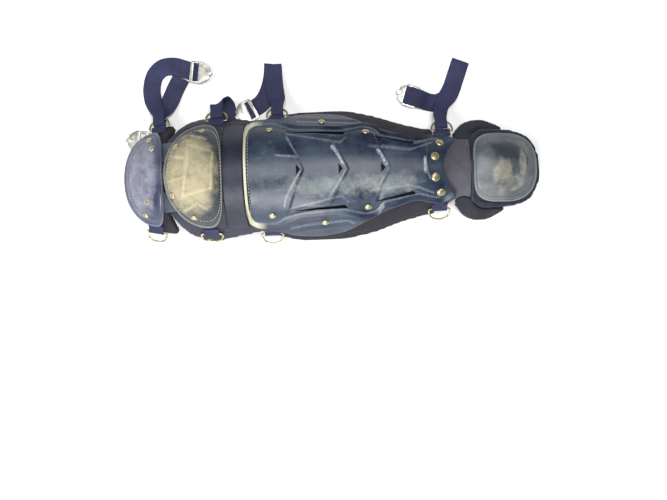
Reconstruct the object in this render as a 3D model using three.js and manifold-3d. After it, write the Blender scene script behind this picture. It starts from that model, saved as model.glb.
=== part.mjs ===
// A catcher's leg guard lying on its side wings, shell up, toe end towards +X.
// Millimetres, +Z up. X runs along the leg, Y across it.
import * as THREE from 'three';
import Module from 'manifold-3d';

const wasm = await Module();
wasm.setup();

// The guard was laid out from the middle vent; the group is shifted so that the origin is its middle
const layoutMiddleX = -10.5;
const layoutMiddleY = 38.4;

// The form is the rounded top of the leg and foot that every pad and shell lies on
const formStart = -290;
const formLength = 558;
const formHalf = 86;
const formHeight = 88;
const formRoundness = 2.1;

const seatGap = 0.3;
const layGap = 0.6;
const floorClear = 4;

const thighPadStart = -286;
const thighPadLength = 62;
const thighPadHalf = 71;
const thighPadWall = 9;
const thighPadEars = 8;

const kneePadStart = -223.4;
const kneePadLength = 119.6;
const kneePadHalf = 82;
const kneePadWall = 11;

const shinPadStart = -103.2;
const shinPadLength = 227;
const shinPadHalf = 87;
const shinPadWall = 10;

const anklePanelStart = 124.4;
const anklePanelLength = 43.6;
const anklePanelHalf = 51;
const anklePanelWall = 5;

const flapStart = 149;
const flapLength = 67;
const flapReach = 67;
const flapWall = 7;
const flapSeam = 1.3;

const toePadStart = 168.6;
const toePadLength = 95.4;
const toePadHalf = 52.5;
const toePadWall = 9;

const shellWall = 3;
const shellLean = 5;

const thighCupMiddle = -236;
const thighCupBack = 45;
const thighCupFront = 18;
const thighCupHalf = 62;
const thighCupBulge = 5;

const kneeCupMiddle = -170;
const kneeCupBack = 49.5;
const kneeCupFront = 27;
const kneeCupHalf = 66;
const kneeCupBulge = 9;

const bandStart = -147;
const bandLength = 26.5;
const bandHalf = 70;
const bandWall = 1.8;

const hingeTabStart = -233;
const hingeTabLength = 28;
const hingeTabInner = 19;
const hingeTabOuter = 43;
const hingeTabWall = 1.8;

const shinPlateStart = -119.4;
const shinPlateLength = 247.4;
const shinPlateHalf = 81;
const upperWing = 0.965;
const ridgeRise = 6;
const wingRise = 3.6;
const veeStep = 2.6;
const finRise = 2.4;
const rimRise = 1;
const ventHeight = 13;
const ventDepth = 5.4;
const slotWidth = 4;

const toePlateMiddle = 213;
const toePlateBack = 46;
const toePlateFront = 46;
const toePlateHalf = 45;
const toePlateBulge = 8;

const rivetRadius = 5.6;
const rivetRise = 2.2;
const smallRivet = 0.78;

const webbing = 1.8;
const strapWidth = 23.5;
const strapPinch = 16;
const layFlatBelow = 3;
const ringWire = 1.3;
const ringHalf = 13.7;
const ringReach = 15;
const tabWidth = 20;
const tabLength = 10;
const tabMerge = 6;

const buckleWidth = 29;
const buckleLength = 26;
const buckleWall = 2.6;
const buckleBar = 4.2;
const buckleSlot = 7;
const buckleLift = 2.4;

// Sections of the form: place along it, half width and crown height, as shares of its sizes
const formSections = [
  { at: 0.0, half: 0.86, crown: 0.09 },
  { at: 0.018, half: 0.88, crown: 0.23 },
  { at: 0.05, half: 0.905, crown: 0.43 },
  { at: 0.09, half: 0.935, crown: 0.63 },
  { at: 0.122, half: 0.96, crown: 0.78 },
  { at: 0.152, half: 0.985, crown: 0.89 },
  { at: 0.188, half: 1.0, crown: 0.97 },
  { at: 0.233, half: 1.0, crown: 1.0 },
  { at: 0.306, half: 1.0, crown: 1.0 },
  { at: 0.43, half: 1.0, crown: 0.965 },
  { at: 0.52, half: 1.01, crown: 0.92 },
  { at: 0.6, half: 0.92, crown: 0.855 },
  { at: 0.664, half: 0.79, crown: 0.79 },
  { at: 0.7, half: 0.72, crown: 0.75 },
  { at: 0.745, half: 0.675, crown: 0.69 },
  { at: 0.789, half: 0.71, crown: 0.61 },
  { at: 0.817, half: 0.76, crown: 0.555 },
  { at: 0.846, half: 0.79, crown: 0.515 },
  { at: 0.878, half: 0.77, crown: 0.465 },
  { at: 0.914, half: 0.7, crown: 0.385 },
  { at: 0.95, half: 0.64, crown: 0.295 },
  { at: 0.978, half: 0.58, crown: 0.205 },
  { at: 1.0, half: 0.535, crown: 0.12 },
];

// Outlines from above: place along the piece and half width, as shares of the piece's sizes
const thighPadOutline = [
  { at: 0.0, half: 0.13 },
  { at: 0.04, half: 0.32 },
  { at: 0.12, half: 0.49 },
  { at: 0.26, half: 0.66 },
  { at: 0.42, half: 0.79 },
  { at: 0.58, half: 0.88 },
  { at: 0.74, half: 0.945 },
  { at: 0.9, half: 0.985 },
  { at: 1.0, half: 1.0 },
];
const kneePadOutline = [
  { at: 0.0, half: 0.5 },
  { at: 0.05, half: 0.63 },
  { at: 0.11, half: 0.75 },
  { at: 0.19, half: 0.86 },
  { at: 0.28, half: 0.93 },
  { at: 0.4, half: 0.985 },
  { at: 0.52, half: 1.0 },
  { at: 0.65, half: 0.965 },
  { at: 0.78, half: 0.935 },
  { at: 0.92, half: 0.9 },
  { at: 1.0, half: 0.88 },
];
const shinPadOutline = [
  { at: 0.0, half: 0.83 },
  { at: 0.05, half: 0.86 },
  { at: 0.1, half: 0.9 },
  { at: 0.19, half: 0.962 },
  { at: 0.3, half: 0.99 },
  { at: 0.41, half: 1.0 },
  { at: 0.51, half: 0.98 },
  { at: 0.65, half: 0.91 },
  { at: 0.73, half: 0.84 },
  { at: 0.81, half: 0.765 },
  { at: 0.9, half: 0.695 },
  { at: 1.0, half: 0.63 },
];
const anklePanelOutline = [
  { at: 0.0, half: 1.0 },
  { at: 0.36, half: 0.88 },
  { at: 0.56, half: 0.79 },
  { at: 0.8, half: 0.74 },
  { at: 1.0, half: 0.765 },
];
const flapOutline = [
  { at: 0.0, outer: 0.69 },
  { at: 0.09, outer: 0.8 },
  { at: 0.2, outer: 0.91 },
  { at: 0.34, outer: 0.975 },
  { at: 0.5, outer: 1.0 },
  { at: 0.66, outer: 0.985 },
  { at: 0.8, outer: 0.93 },
  { at: 0.92, outer: 0.865 },
  { at: 1.0, outer: 0.815 },
];
const toePadOutline = [
  { at: 0.0, half: 0.76 },
  { at: 0.08, half: 0.91 },
  { at: 0.2, half: 0.995 },
  { at: 0.35, half: 1.0 },
  { at: 0.55, half: 0.98 },
  { at: 0.75, half: 0.9 },
  { at: 0.88, half: 0.74 },
  { at: 0.95, half: 0.54 },
  { at: 1.0, half: 0.22 },
];
// Shin plate: outline and the ridge line inside it, as shares of its half width
const shinPlateOutline = [
  { at: 0.0, edge: 0.56, ridge: 0.51 },
  { at: 0.01, edge: 0.7, ridge: 0.65 },
  { at: 0.028, edge: 0.775, ridge: 0.725 },
  { at: 0.06, edge: 0.815, ridge: 0.765 },
  { at: 0.135, edge: 0.83, ridge: 0.775 },
  { at: 0.2, edge: 0.875, ridge: 0.7 },
  { at: 0.27, edge: 0.915, ridge: 0.645 },
  { at: 0.35, edge: 0.925, ridge: 0.63 },
  { at: 0.48, edge: 0.885, ridge: 0.605 },
  { at: 0.545, edge: 0.81, ridge: 0.635 },
  { at: 0.61, edge: 0.715, ridge: 0.67 },
  { at: 0.66, edge: 0.655, ridge: 0.625 },
  { at: 0.695, edge: 0.595, ridge: 0.515 },
  { at: 0.78, edge: 0.51, ridge: 0.46 },
  { at: 0.87, edge: 0.44, ridge: 0.4 },
  { at: 0.93, edge: 0.47, ridge: 0.43 },
  { at: 1.0, edge: 0.495, ridge: 0.46 },
  { at: 1.06, edge: 0.43, ridge: 0.39 },
  { at: 1.1, edge: 0.4, ridge: 0.36 },
];
// Rows of the shin plate: place on the middle line, how far the row's arms sweep back, height of
// the V steps and of the side fins, as shares of the plate's length, sweep and rises
const veeSweep = 29;
const shinRows = [
  { at: 0.0, sweep: 0, step: 0, fin: 0, rim: 1 },
  { at: 0.012, sweep: 0, step: 0, fin: 0, rim: 1 },
  { at: 0.024, sweep: 0, step: 0, fin: 0, rim: 0 },
  { at: 0.054, sweep: 0.08, step: 0, fin: 0, rim: 0 },
  { at: 0.09, sweep: 0.24, step: 0, fin: 0, rim: 0 },
  { at: 0.143, sweep: 0.5, step: 0.1, fin: 0, rim: 0 },
  { at: 0.208, sweep: 0.7, step: 0.35, fin: 0, rim: 0 },
  { at: 0.256, sweep: 0.83, step: 0.7, fin: 0.1, rim: 0 },
  { at: 0.286, sweep: 0.86, step: 1, fin: 0.2, rim: 0 },
  { at: 0.298, sweep: 0.86, step: 0, fin: 0.3, rim: 0 },
  { at: 0.362, sweep: 0.93, step: 0.15, fin: 0.5, rim: 0 },
  { at: 0.425, sweep: 0.97, step: 0.5, fin: 0.75, rim: 0 },
  { at: 0.475, sweep: 1, step: 0.85, fin: 0.95, rim: 0 },
  { at: 0.509, sweep: 1, step: 1, fin: 1, rim: 0 },
  { at: 0.521, sweep: 1, step: 0, fin: 0.9, rim: 0 },
  { at: 0.588, sweep: 0.97, step: 0.25, fin: 0, rim: 0 },
  { at: 0.652, sweep: 0.9, step: 0.65, fin: 0, rim: 0 },
  { at: 0.723, sweep: 0.86, step: 1, fin: 0.5, rim: 0 },
  { at: 0.735, sweep: 0.86, step: 0, fin: 0.6, rim: 0 },
  { at: 0.766, sweep: 0.76, step: 0.05, fin: 0.9, rim: 0 },
  { at: 0.79, sweep: 0.66, step: 0.1, fin: 1, rim: 0 },
  { at: 0.854, sweep: 0.28, step: 0.3, fin: 0.6, rim: 0 },
  { at: 0.911, sweep: -0.07, step: 0.7, fin: 0.1, rim: 0 },
  { at: 0.921, sweep: -0.07, step: 0, fin: 0, rim: 0 },
  { at: 0.955, sweep: -0.28, step: 0, fin: 0, rim: 0 },
  { at: 0.98, sweep: -0.45, step: 0, fin: 0, rim: 0 },
  { at: 1.0, sweep: -0.62, step: 0, fin: 0, rim: 0 },
];
// Columns of the shin plate, from the middle line to the ridge and on over the wing: place as a share
// of the ridge or wing width, and how much of the V step, fin, ridge rise and wing rise they carry
const shinColumns = [
  { part: 'crown', at: 0.0, step: 1, fin: 0, ridge: 0, wing: 0 },
  { part: 'crown', at: 0.2, step: 1, fin: 0, ridge: 0.03, wing: 0 },
  { part: 'crown', at: 0.4, step: 0.9, fin: 0, ridge: 0.12, wing: 0 },
  { part: 'crown', at: 0.6, step: 0.7, fin: 0.3, ridge: 0.28, wing: 0 },
  { part: 'crown', at: 0.76, step: 0.4, fin: 1, ridge: 0.42, wing: 0 },
  { part: 'crown', at: 0.86, step: 0.1, fin: 0.1, ridge: 0.5, wing: 0 },
  { part: 'crown', at: 1.0, step: 0, fin: 0, ridge: 1, wing: 0 },
  { part: 'wing', at: 0.16, step: 0, fin: 0, ridge: 0, wing: 0.8 },
  { part: 'wing', at: 0.58, step: 0, fin: 0, ridge: 0, wing: 1 },
  { part: 'wing', at: 1.0, step: 0, fin: 0, ridge: 0, wing: 1 },
];

// Value of one column of a table at a place, on a smooth curve that doesn't overshoot
function tableAt(rows, column, at) {
  let i = 0;
  while (i < rows.length - 2 && at > rows[i + 1].at) i += 1;
  const slopeOf = (k) => (rows[k + 1][column] - rows[k][column]) / (rows[k + 1].at - rows[k].at);
  const tangentAt = (k) => {
    if (k === 0 || k === rows.length - 1) return slopeOf(k === 0 ? 0 : k - 1);
    const before = slopeOf(k - 1);
    const after = slopeOf(k);
    return before * after <= 0 ? 0 : (2 * before * after) / (before + after);
  };
  const span = rows[i + 1].at - rows[i].at;
  const t = THREE.MathUtils.clamp((at - rows[i].at) / span, 0, 1);
  const rise = rows[i + 1][column] - rows[i][column];
  const [m0, m1] = [tangentAt(i) * span, tangentAt(i + 1) * span];
  return rows[i][column] + t * m0 + t * t * (3 * rise - 2 * m0 - m1) + t * t * t * (m0 + m1 - 2 * rise);
}

function formZ(x, y) {
  const at = (x - formStart) / formLength;
  const half = formHalf * tableAt(formSections, 'half', at);
  const crown = formHeight * tableAt(formSections, 'crown', at);
  return crown * (1 - Math.pow(Math.abs(y) / half, formRoundness));
}

function formNormal(x, y) {
  const reach = 0.5;
  const slopeX = (formZ(x + reach, y) - formZ(x - reach, y)) / (2 * reach);
  const slopeY = (formZ(x, y + reach) - formZ(x, y - reach)) / (2 * reach);
  return new THREE.Vector3(-slopeX, -slopeY, 1).normalize();
}

// A point above or below the form, square to it, no lower than the floor given
function onForm(x, y, height, floor = 0) {
  const point = new THREE.Vector3(x, y, formZ(x, y)).addScaledVector(formNormal(x, y), height);
  point.z = Math.max(point.z, floor);
  return point;
}

function geometryOf(points, faces) {
  const geometry = new THREE.BufferGeometry();
  geometry.setAttribute('position', new THREE.Float32BufferAttribute(points.flatMap((p) => p.toArray()), 3));
  geometry.setIndex(faces.flat());
  return geometry;
}

// Closed sheet between an upper and a lower grid of points
function gridSolid(countU, countV, upper, lower) {
  const points = [];
  const faces = [];
  for (const layer of [upper, lower]) {
    for (let i = 0; i < countU; i += 1) for (let j = 0; j < countV; j += 1) points.push(layer(i, j));
  }
  const top = (i, j) => i * countV + j;
  const low = (i, j) => countU * countV + i * countV + j;
  for (let i = 0; i < countU - 1; i += 1) {
    for (let j = 0; j < countV - 1; j += 1) {
      faces.push([top(i, j), top(i + 1, j), top(i + 1, j + 1)], [top(i, j), top(i + 1, j + 1), top(i, j + 1)]);
      faces.push([low(i, j), low(i + 1, j + 1), low(i + 1, j)], [low(i, j), low(i, j + 1), low(i + 1, j + 1)]);
    }
  }
  const wall = (a, b) => faces.push([top(...a), top(...b), low(...b)], [top(...a), low(...b), low(...a)]);
  for (let i = 0; i < countU - 1; i += 1) {
    wall([i + 1, 0], [i, 0]);
    wall([i, countV - 1], [i + 1, countV - 1]);
  }
  for (let j = 0; j < countV - 1; j += 1) {
    wall([0, j], [0, j + 1]);
    wall([countU - 1, j + 1], [countU - 1, j]);
  }
  return geometryOf(points, faces);
}

// Closed round sheet: a middle point and rings of points, above and below
function discSolid(rings, segments, upper, lower) {
  const points = [upper(0, 0), lower(0, 0)];
  const faces = [];
  for (const layer of [upper, lower]) {
    for (const ring of rings) {
      for (let k = 0; k < segments; k += 1) points.push(layer(ring, (k / segments) * 2 * Math.PI));
    }
  }
  const top = (r, k) => 2 + r * segments + (k % segments);
  const low = (r, k) => 2 + (rings.length + r) * segments + (k % segments);
  for (let k = 0; k < segments; k += 1) {
    faces.push([0, top(0, k), top(0, k + 1)], [1, low(0, k + 1), low(0, k)]);
    for (let r = 0; r < rings.length - 1; r += 1) {
      faces.push([top(r, k), top(r + 1, k), top(r + 1, k + 1)], [top(r, k), top(r + 1, k + 1), top(r, k + 1)]);
      faces.push([low(r, k), low(r + 1, k + 1), low(r + 1, k)], [low(r, k), low(r, k + 1), low(r + 1, k + 1)]);
    }
    const rim = rings.length - 1;
    faces.push([top(rim, k), low(rim, k), low(rim, k + 1)], [top(rim, k), low(rim, k + 1), top(rim, k + 1)]);
  }
  return geometryOf(points, faces);
}

function asManifold(geometry) {
  const position = geometry.attributes.position;
  const index = geometry.index.array;
  return new wasm.Manifold(new wasm.Mesh({
    numProp: 3,
    vertProperties: new Float32Array(position.array),
    triVerts: new Uint32Array(index),
  }));
}

function fromManifold(solid) {
  const mesh = solid.getMesh();
  const geometry = new THREE.BufferGeometry();
  geometry.setAttribute('position', new THREE.Float32BufferAttribute(mesh.vertProperties, 3));
  geometry.setIndex(Array.from(mesh.triVerts));
  return geometry;
}

// Upright prism over an outline, wound anticlockwise seen from above
function prism(outline, zLow, zHigh) {
  const count = outline.length;
  const points = [zLow, zHigh].flatMap((z) => outline.map(([x, y]) => new THREE.Vector3(x, y, z)));
  const faces = [];
  const caps = THREE.ShapeUtils.triangulateShape(outline.map(([x, y]) => new THREE.Vector2(x, y)), []);
  for (const [a, b, c] of caps) faces.push([c, b, a], [count + a, count + b, count + c]);
  for (let k = 0; k < count; k += 1) {
    const next = (k + 1) % count;
    faces.push([k, next, count + next], [k, count + next, count + k]);
  }
  return geometryOf(points, faces);
}

const guard = new THREE.Group();

function addPiece(name, geometry, material, parent = guard) {
  const mesh = new THREE.Mesh(geometry, material);
  mesh.name = name;
  parent.add(mesh);
  return mesh;
}

function plastic(color) {
  return new THREE.MeshStandardMaterial({ color, roughness: 0.38, metalness: 0 });
}

function cloth(color) {
  return new THREE.MeshStandardMaterial({ color, roughness: 0.9, metalness: 0 });
}

function metal(color) {
  return new THREE.MeshStandardMaterial({ color, roughness: 0.3, metalness: 1 });
}

// Padded sheet on the form, symmetric about the middle line
function padOnForm({ start, length, half, wall, outline, columns, floor = 0, ears = 0 }) {
  const place = (i, j) => {
    const across = (2 * j) / (columns - 1) - 1;
    const ear = THREE.MathUtils.smoothstep(Math.abs(across), 0.62, 0.95);
    const { at } = outline[i];
    return { x: start + length * at + ears * ear * at, y: across * half * outline[i].half };
  };
  const layer = (height) => (i, j) => {
    const { x, y } = place(i, j);
    return onForm(x, y, height, floor);
  };
  return gridSolid(outline.length, columns, layer(0), layer(-wall));
}

addPiece('thigh_pad', padOnForm({
  start: thighPadStart,
  length: thighPadLength,
  half: thighPadHalf,
  wall: thighPadWall,
  outline: thighPadOutline,
  columns: 15,
  floor: floorClear,
  ears: thighPadEars,
}), cloth('#2a2b40'));

addPiece('knee_pad', padOnForm({
  start: kneePadStart,
  length: kneePadLength,
  half: kneePadHalf,
  wall: kneePadWall,
  outline: kneePadOutline,
  columns: 17,
  floor: floorClear,
}), cloth('#33344f'));

addPiece('shin_pad', padOnForm({
  start: shinPadStart,
  length: shinPadLength,
  half: shinPadHalf,
  wall: shinPadWall,
  outline: shinPadOutline,
  columns: 17,
}), cloth('#35333f'));

addPiece('ankle_panel', padOnForm({
  start: anklePanelStart,
  length: anklePanelLength,
  half: anklePanelHalf,
  wall: anklePanelWall,
  outline: anklePanelOutline,
  columns: 11,
}), cloth('#5a5560'));

addPiece('toe_pad', padOnForm({
  start: toePadStart,
  length: toePadLength,
  half: toePadHalf,
  wall: toePadWall,
  outline: toePadOutline,
  columns: 15,
}), cloth('#2b2c40'));

// The ankle's side wings start a seam's width outside the panel and the toe pad
function innerEdgeOfFlap(x) {
  const panelAt = (x - anklePanelStart) / anklePanelLength;
  const padAt = (x - toePadStart) / toePadLength;
  if (padAt <= 0) return anklePanelHalf * tableAt(anklePanelOutline, 'half', panelAt) + flapSeam;
  return toePadHalf * tableAt(toePadOutline, 'half', padAt) + flapSeam;
}

function flapGeometry(side) {
  const columns = 5;
  const layer = (height) => (i, j) => {
    const x = flapStart + flapLength * flapOutline[i].at;
    const inner = innerEdgeOfFlap(x);
    const outer = Math.max(flapReach * flapOutline[i].outer, inner + flapSeam);
    const share = side > 0 ? j / (columns - 1) : 1 - j / (columns - 1);
    return onForm(x, side * THREE.MathUtils.lerp(inner, outer, share), height);
  };
  return gridSolid(flapOutline.length, columns, layer(0), layer(-flapWall));
}
addPiece('ankle_flap_upper', flapGeometry(1), cloth('#3a3a44'));
addPiece('ankle_flap_lower', flapGeometry(-1), cloth('#3a3a44'));

// Domed shell on the form: two half ovals, squarer or rounder, with a bulge in the middle
function cupOnForm({ middle, back, front, half, squareBack, squareFront, lift, bulge, segments }) {
  const place = (ring, angle) => {
    const [c, s] = [Math.cos(angle), Math.sin(angle)];
    const power = 2 / (c < 0 ? squareBack : squareFront);
    const reach = (c < 0 ? back : front) - shellLean * 0.5;
    const x = middle + ring * Math.sign(c) * reach * Math.pow(Math.abs(c), power);
    const y = ring * Math.sign(s) * (half - shellLean) * Math.pow(Math.abs(s), power);
    return { x, y };
  };
  const layer = (height) => (ring, angle) => {
    const { x, y } = place(ring, angle);
    return onForm(x, y, lift + bulge * (1 - ring * ring) + height);
  };
  return discSolid([0.3, 0.55, 0.75, 0.9, 1], segments, layer(shellWall), layer(0));
}

const thighCup = addPiece('thigh_cup', cupOnForm({
  middle: thighCupMiddle,
  back: thighCupBack,
  front: thighCupFront,
  half: thighCupHalf,
  squareBack: 2.1,
  squareFront: 2.1,
  lift: hingeTabWall + 2 * layGap,
  bulge: thighCupBulge,
  segments: 28,
}), plastic('#3b4560'));

const kneeCup = addPiece('knee_cup', cupOnForm({
  middle: kneeCupMiddle,
  back: kneeCupBack,
  front: kneeCupFront,
  half: kneeCupHalf,
  squareBack: 2.05,
  squareFront: 2.5,
  lift: Math.max(bandWall, hingeTabWall) + 2 * layGap,
  bulge: kneeCupBulge,
  segments: 36,
}), plastic('#3f4450'));

addPiece('toe_plate', cupOnForm({
  middle: toePlateMiddle,
  back: toePlateBack,
  front: toePlateFront,
  half: toePlateHalf + shellLean * 0.5,
  squareBack: 3.6,
  squareFront: 2.7,
  lift: layGap + seatGap,
  bulge: toePlateBulge,
  segments: 28,
}), plastic('#3a3f46'));

// Flat strips that lie on the pads
function stripOnForm({ start, length, low, high, wall, rows, columns }) {
  const layer = (height) => (i, j) => {
    const x = start + (length * i) / (rows - 1);
    return onForm(x, THREE.MathUtils.lerp(low, high, j / (columns - 1)), height);
  };
  return gridSolid(rows, columns, layer(layGap + wall), layer(layGap));
}
addPiece('knee_band', stripOnForm({
  start: bandStart,
  length: bandLength,
  low: -(bandHalf - shellLean),
  high: bandHalf - shellLean,
  wall: bandWall,
  rows: 3,
  columns: 21,
}), cloth('#4a4a6a'));
for (const [name, side] of [['hinge_tab_upper', 1], ['hinge_tab_lower', -1]]) {
  addPiece(name, stripOnForm({
    start: hingeTabStart,
    length: hingeTabLength,
    low: Math.min(side * hingeTabInner, side * hingeTabOuter),
    high: Math.max(side * hingeTabInner, side * hingeTabOuter),
    wall: hingeTabWall,
    rows: 4,
    columns: 5,
  }), plastic('#5c6070'));
}

// Shin plate: rows swept into a V, columns to the ridge and over the wing
function shinPlateGeometry() {
  const columns = [...shinColumns.slice(1).reverse().map((column) => ({ ...column, side: -1 })),
    ...shinColumns.map((column) => ({ ...column, side: 1 }))];
  const layer = (height) => (i, j) => {
    const row = shinRows[i];
    const column = columns[j];
    const sweepShare = column.part === 'crown' ? column.at : 1;
    const last = i === shinRows.length - 1 || row.sweep < -0.2;
    const arm = last ? Math.pow(sweepShare, 1.5) : sweepShare;
    const at = row.at - (veeSweep * row.sweep * arm) / shinPlateLength;
    const ridge = shinPlateHalf * tableAt(shinPlateOutline, 'ridge', at);
    const edge = shinPlateHalf * tableAt(shinPlateOutline, 'edge', at) * (column.side > 0 ? upperWing : 1);
    const y = column.part === 'crown' ? ridge * column.at : THREE.MathUtils.lerp(ridge, edge, column.at);
    const rise = veeStep * row.step * column.step + finRise * row.fin * column.fin
      + ridgeRise * column.ridge + wingRise * column.wing + rimRise * row.rim;
    return onForm(shinPlateStart + shinPlateLength * at, column.side * y, layGap + rise + height);
  };
  return gridSolid(shinRows.length, columns.length, layer(shellWall), layer(0));
}

// Vents and side slots, cut straight down through the shin plate
const ventPlaces = [0.271, 0.482, 0.696];
const slotPlaces = [
  { from: 0.25, fromY: 0.605, to: 0.515, toY: 0.565 },
  { from: 0.66, fromY: 0.5, to: 0.865, toY: 0.385 },
];
function shinPlateCuts() {
  const cuts = [];
  const shinX = (share) => shinPlateStart + shinPlateLength * share;
  for (const place of ventPlaces) {
    const x = shinX(place);
    cuts.push([[x - ventDepth / 2, -ventHeight / 2], [x + ventDepth / 2, 0], [x - ventDepth / 2, ventHeight / 2]]);
  }
  for (const slot of slotPlaces) {
    for (const side of [-1, 1]) {
      const [x0, x1] = [shinX(slot.from), shinX(slot.to)];
      const [y0, y1] = [shinPlateHalf * slot.fromY, shinPlateHalf * slot.toY];
      const wedge = [[x0, y0 - slotWidth * 0.12], [x1 - slotWidth, y1 - slotWidth / 2], [x1, y1 + slotWidth / 2],
        [x0, y0 + slotWidth * 0.12]];
      cuts.push(side > 0 ? wedge : wedge.map(([x, y]) => [x, -y]).reverse());
    }
  }
  return cuts.map((outline) => asManifold(prism(outline, 0, formHeight * 1.5)));
}
let shinSolid = asManifold(shinPlateGeometry());
for (const cut of shinPlateCuts()) shinSolid = shinSolid.subtract(cut);
const shinPlate = addPiece('shin_plate', fromManifold(shinSolid), plastic('#1b2b45'));

// Rivets sit square on the shell under them, a hair above its highest point there
const raycaster = new THREE.Raycaster();
function seatOn(shell, x, y) {
  raycaster.set(new THREE.Vector3(x, y, formHeight * 2), new THREE.Vector3(0, 0, -1));
  return raycaster.intersectObject(shell)[0];
}
const around = Array.from({ length: 12 }, (_, k) => (k * Math.PI) / 6);
const rivetProfile = [[0, 0], [1, 0], [0.75, 0.75], [0, 1]];
function addRivet(name, shell, x, y, radius) {
  const middle = seatOn(shell, x, y).point;
  const seats = around.map((angle) => seatOn(
    shell,
    x + radius * Math.cos(angle),
    y + radius * 0.8 * Math.sin(angle),
  ).point);
  const normal = new THREE.Vector3();
  for (let k = 0; k < seats.length; k += 1) {
    const next = seats[(k + 1) % seats.length];
    normal.add(seats[k].clone().sub(middle).cross(next.clone().sub(middle)).normalize());
  }
  normal.normalize();
  const high = Math.max(0, ...seats.map((seat) => seat.clone().sub(middle).dot(normal)));
  const profile = rivetProfile.map(([r, h]) => new THREE.Vector2(r * radius, h * rivetRise));
  const lathe = new THREE.LatheGeometry(profile, 8);
  lathe.rotateX(Math.PI / 2);
  const mesh = addPiece(name, lathe, metal('#c9bd8f'));
  mesh.quaternion.setFromUnitVectors(new THREE.Vector3(0, 0, 1), normal);
  mesh.position.copy(middle).addScaledVector(normal, high + seatGap);
}
// Rivets by shell: place along it from the middle (cups) or the start (plate), and across, as shares
const cupRivets = [
  { shell: thighCup, middle: thighCupMiddle, reach: thighCupBack, half: thighCupHalf, along: -0.167, across: 0.798 },
  { shell: thighCup, middle: thighCupMiddle, reach: thighCupBack, half: thighCupHalf, along: -0.033, across: 0.589 },
  { shell: thighCup, middle: thighCupMiddle, reach: thighCupBack, half: thighCupHalf, along: -0.222, across: -0.476 },
  { shell: thighCup, middle: thighCupMiddle, reach: thighCupBack, half: thighCupHalf, along: -0.378, across: -0.734 },
  { shell: kneeCup, middle: kneeCupMiddle, reach: kneeCupBack, half: kneeCupHalf, along: -0.04, across: 0.833 },
  { shell: kneeCup, middle: kneeCupMiddle, reach: kneeCupBack, half: kneeCupHalf, along: -0.667, across: 0.53 },
  { shell: kneeCup, middle: kneeCupMiddle, reach: kneeCupBack, half: kneeCupHalf, along: -0.788, across: -0.379 },
  { shell: kneeCup, middle: kneeCupMiddle, reach: kneeCupBack, half: kneeCupHalf, along: -0.323, across: -0.795 },
];
const plateRivets = [
  { at: 0.127, across: 0.8, size: smallRivet },
  { at: 0.394, across: 0.86, size: smallRivet },
  { at: 0.616, across: 0.82, size: smallRivet },
  { at: 0.996, across: 0.775, size: 1 },
  { at: 0.964, across: 0.33, size: 1 },
];
let rivetCount = 0;
function nextRivet(shell, x, y, size) {
  rivetCount += 1;
  addRivet(`rivet_${String(rivetCount).padStart(2, '0')}`, shell, x, y, rivetRadius * size);
}
for (const { shell, middle, reach, half, along, across } of cupRivets) {
  nextRivet(shell, middle + reach * along, half * across, smallRivet);
}
for (const { at, across, size } of plateRivets) {
  const x = shinPlateStart + shinPlateLength * at;
  const y = shinPlateHalf * tableAt(shinPlateOutline, 'edge', at) * across;
  nextRivet(shinPlate, x, y, size);
  nextRivet(shinPlate, x, -y, size);
}

// A D-ring in its webbing tab on the pad: the bar lies along X, the bow hangs out and down
function ringPath() {
  const points = [new THREE.Vector3(-ringHalf + ringWire, 0, 0)];
  const steps = 8;
  points.push(new THREE.Vector3(ringHalf - ringWire, 0, 0));
  for (let k = 0; k <= steps; k += 1) {
    const angle = (Math.PI * k) / steps;
    const [c, s] = [Math.cos(angle), Math.sin(angle)];
    points.push(new THREE.Vector3(
      ringHalf * Math.sign(c) * Math.pow(Math.abs(c), 0.8),
      ringWire + (ringReach - ringWire) * Math.pow(s, 0.8),
      0,
    ));
  }
  return points;
}

// Round wire along a closed flat path in the XY plane, mitred at each point
function wireLoop(path, radius, sides) {
  const points = [];
  const faces = [];
  const count = path.length;
  for (let k = 0; k < count; k += 1) {
    const before = path[(k + count - 1) % count];
    const after = path[(k + 1) % count];
    const along = path[k].clone().sub(before).normalize().add(after.clone().sub(path[k]).normalize()).normalize();
    const out = new THREE.Vector3(along.y, -along.x, 0);
    for (let s = 0; s < sides; s += 1) {
      const angle = (2 * Math.PI * s) / sides;
      points.push(path[k].clone().addScaledVector(out, radius * Math.cos(angle))
        .add(new THREE.Vector3(0, 0, radius * Math.sin(angle))));
    }
  }
  const at = (k, s) => (k % count) * sides + (s % sides);
  for (let k = 0; k < count; k += 1) {
    for (let s = 0; s < sides; s += 1) {
      faces.push([at(k, s), at(k + 1, s), at(k + 1, s + 1)], [at(k, s), at(k + 1, s + 1), at(k, s + 1)]);
    }
  }
  return geometryOf(points, faces);
}

// Side view of the tab: two layers of webbing that part round the ring's bar
function tabGeometry() {
  const inner = ringWire + seatGap;
  const outer = inner + webbing * 0.8;
  const shape = new THREE.Shape();
  shape.moveTo(-tabLength, -outer);
  shape.lineTo(0, -outer);
  for (let k = 1; k < 6; k += 1) {
    const angle = -Math.PI / 2 + (Math.PI * k) / 6;
    shape.lineTo(outer * Math.cos(angle), outer * Math.sin(angle));
  }
  shape.lineTo(0, outer);
  shape.lineTo(-tabMerge, -outer + webbing * 1.6);
  shape.lineTo(-tabLength, -outer + webbing * 1.6);
  const hole = new THREE.Path();
  for (let k = 0; k < 8; k += 1) {
    const angle = (-2 * Math.PI * (k + 0.5)) / 8;
    const reach = inner / Math.cos(Math.PI / 8);
    if (k === 0) hole.moveTo(reach * Math.cos(angle), reach * Math.sin(angle));
    else hole.lineTo(reach * Math.cos(angle), reach * Math.sin(angle));
  }
  shape.holes.push(hole);
  const tab = new THREE.ExtrudeGeometry(shape, { depth: tabWidth, bevelEnabled: false });
  tab.translate(0, 0, -tabWidth / 2);
  return tab;
}

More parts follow.
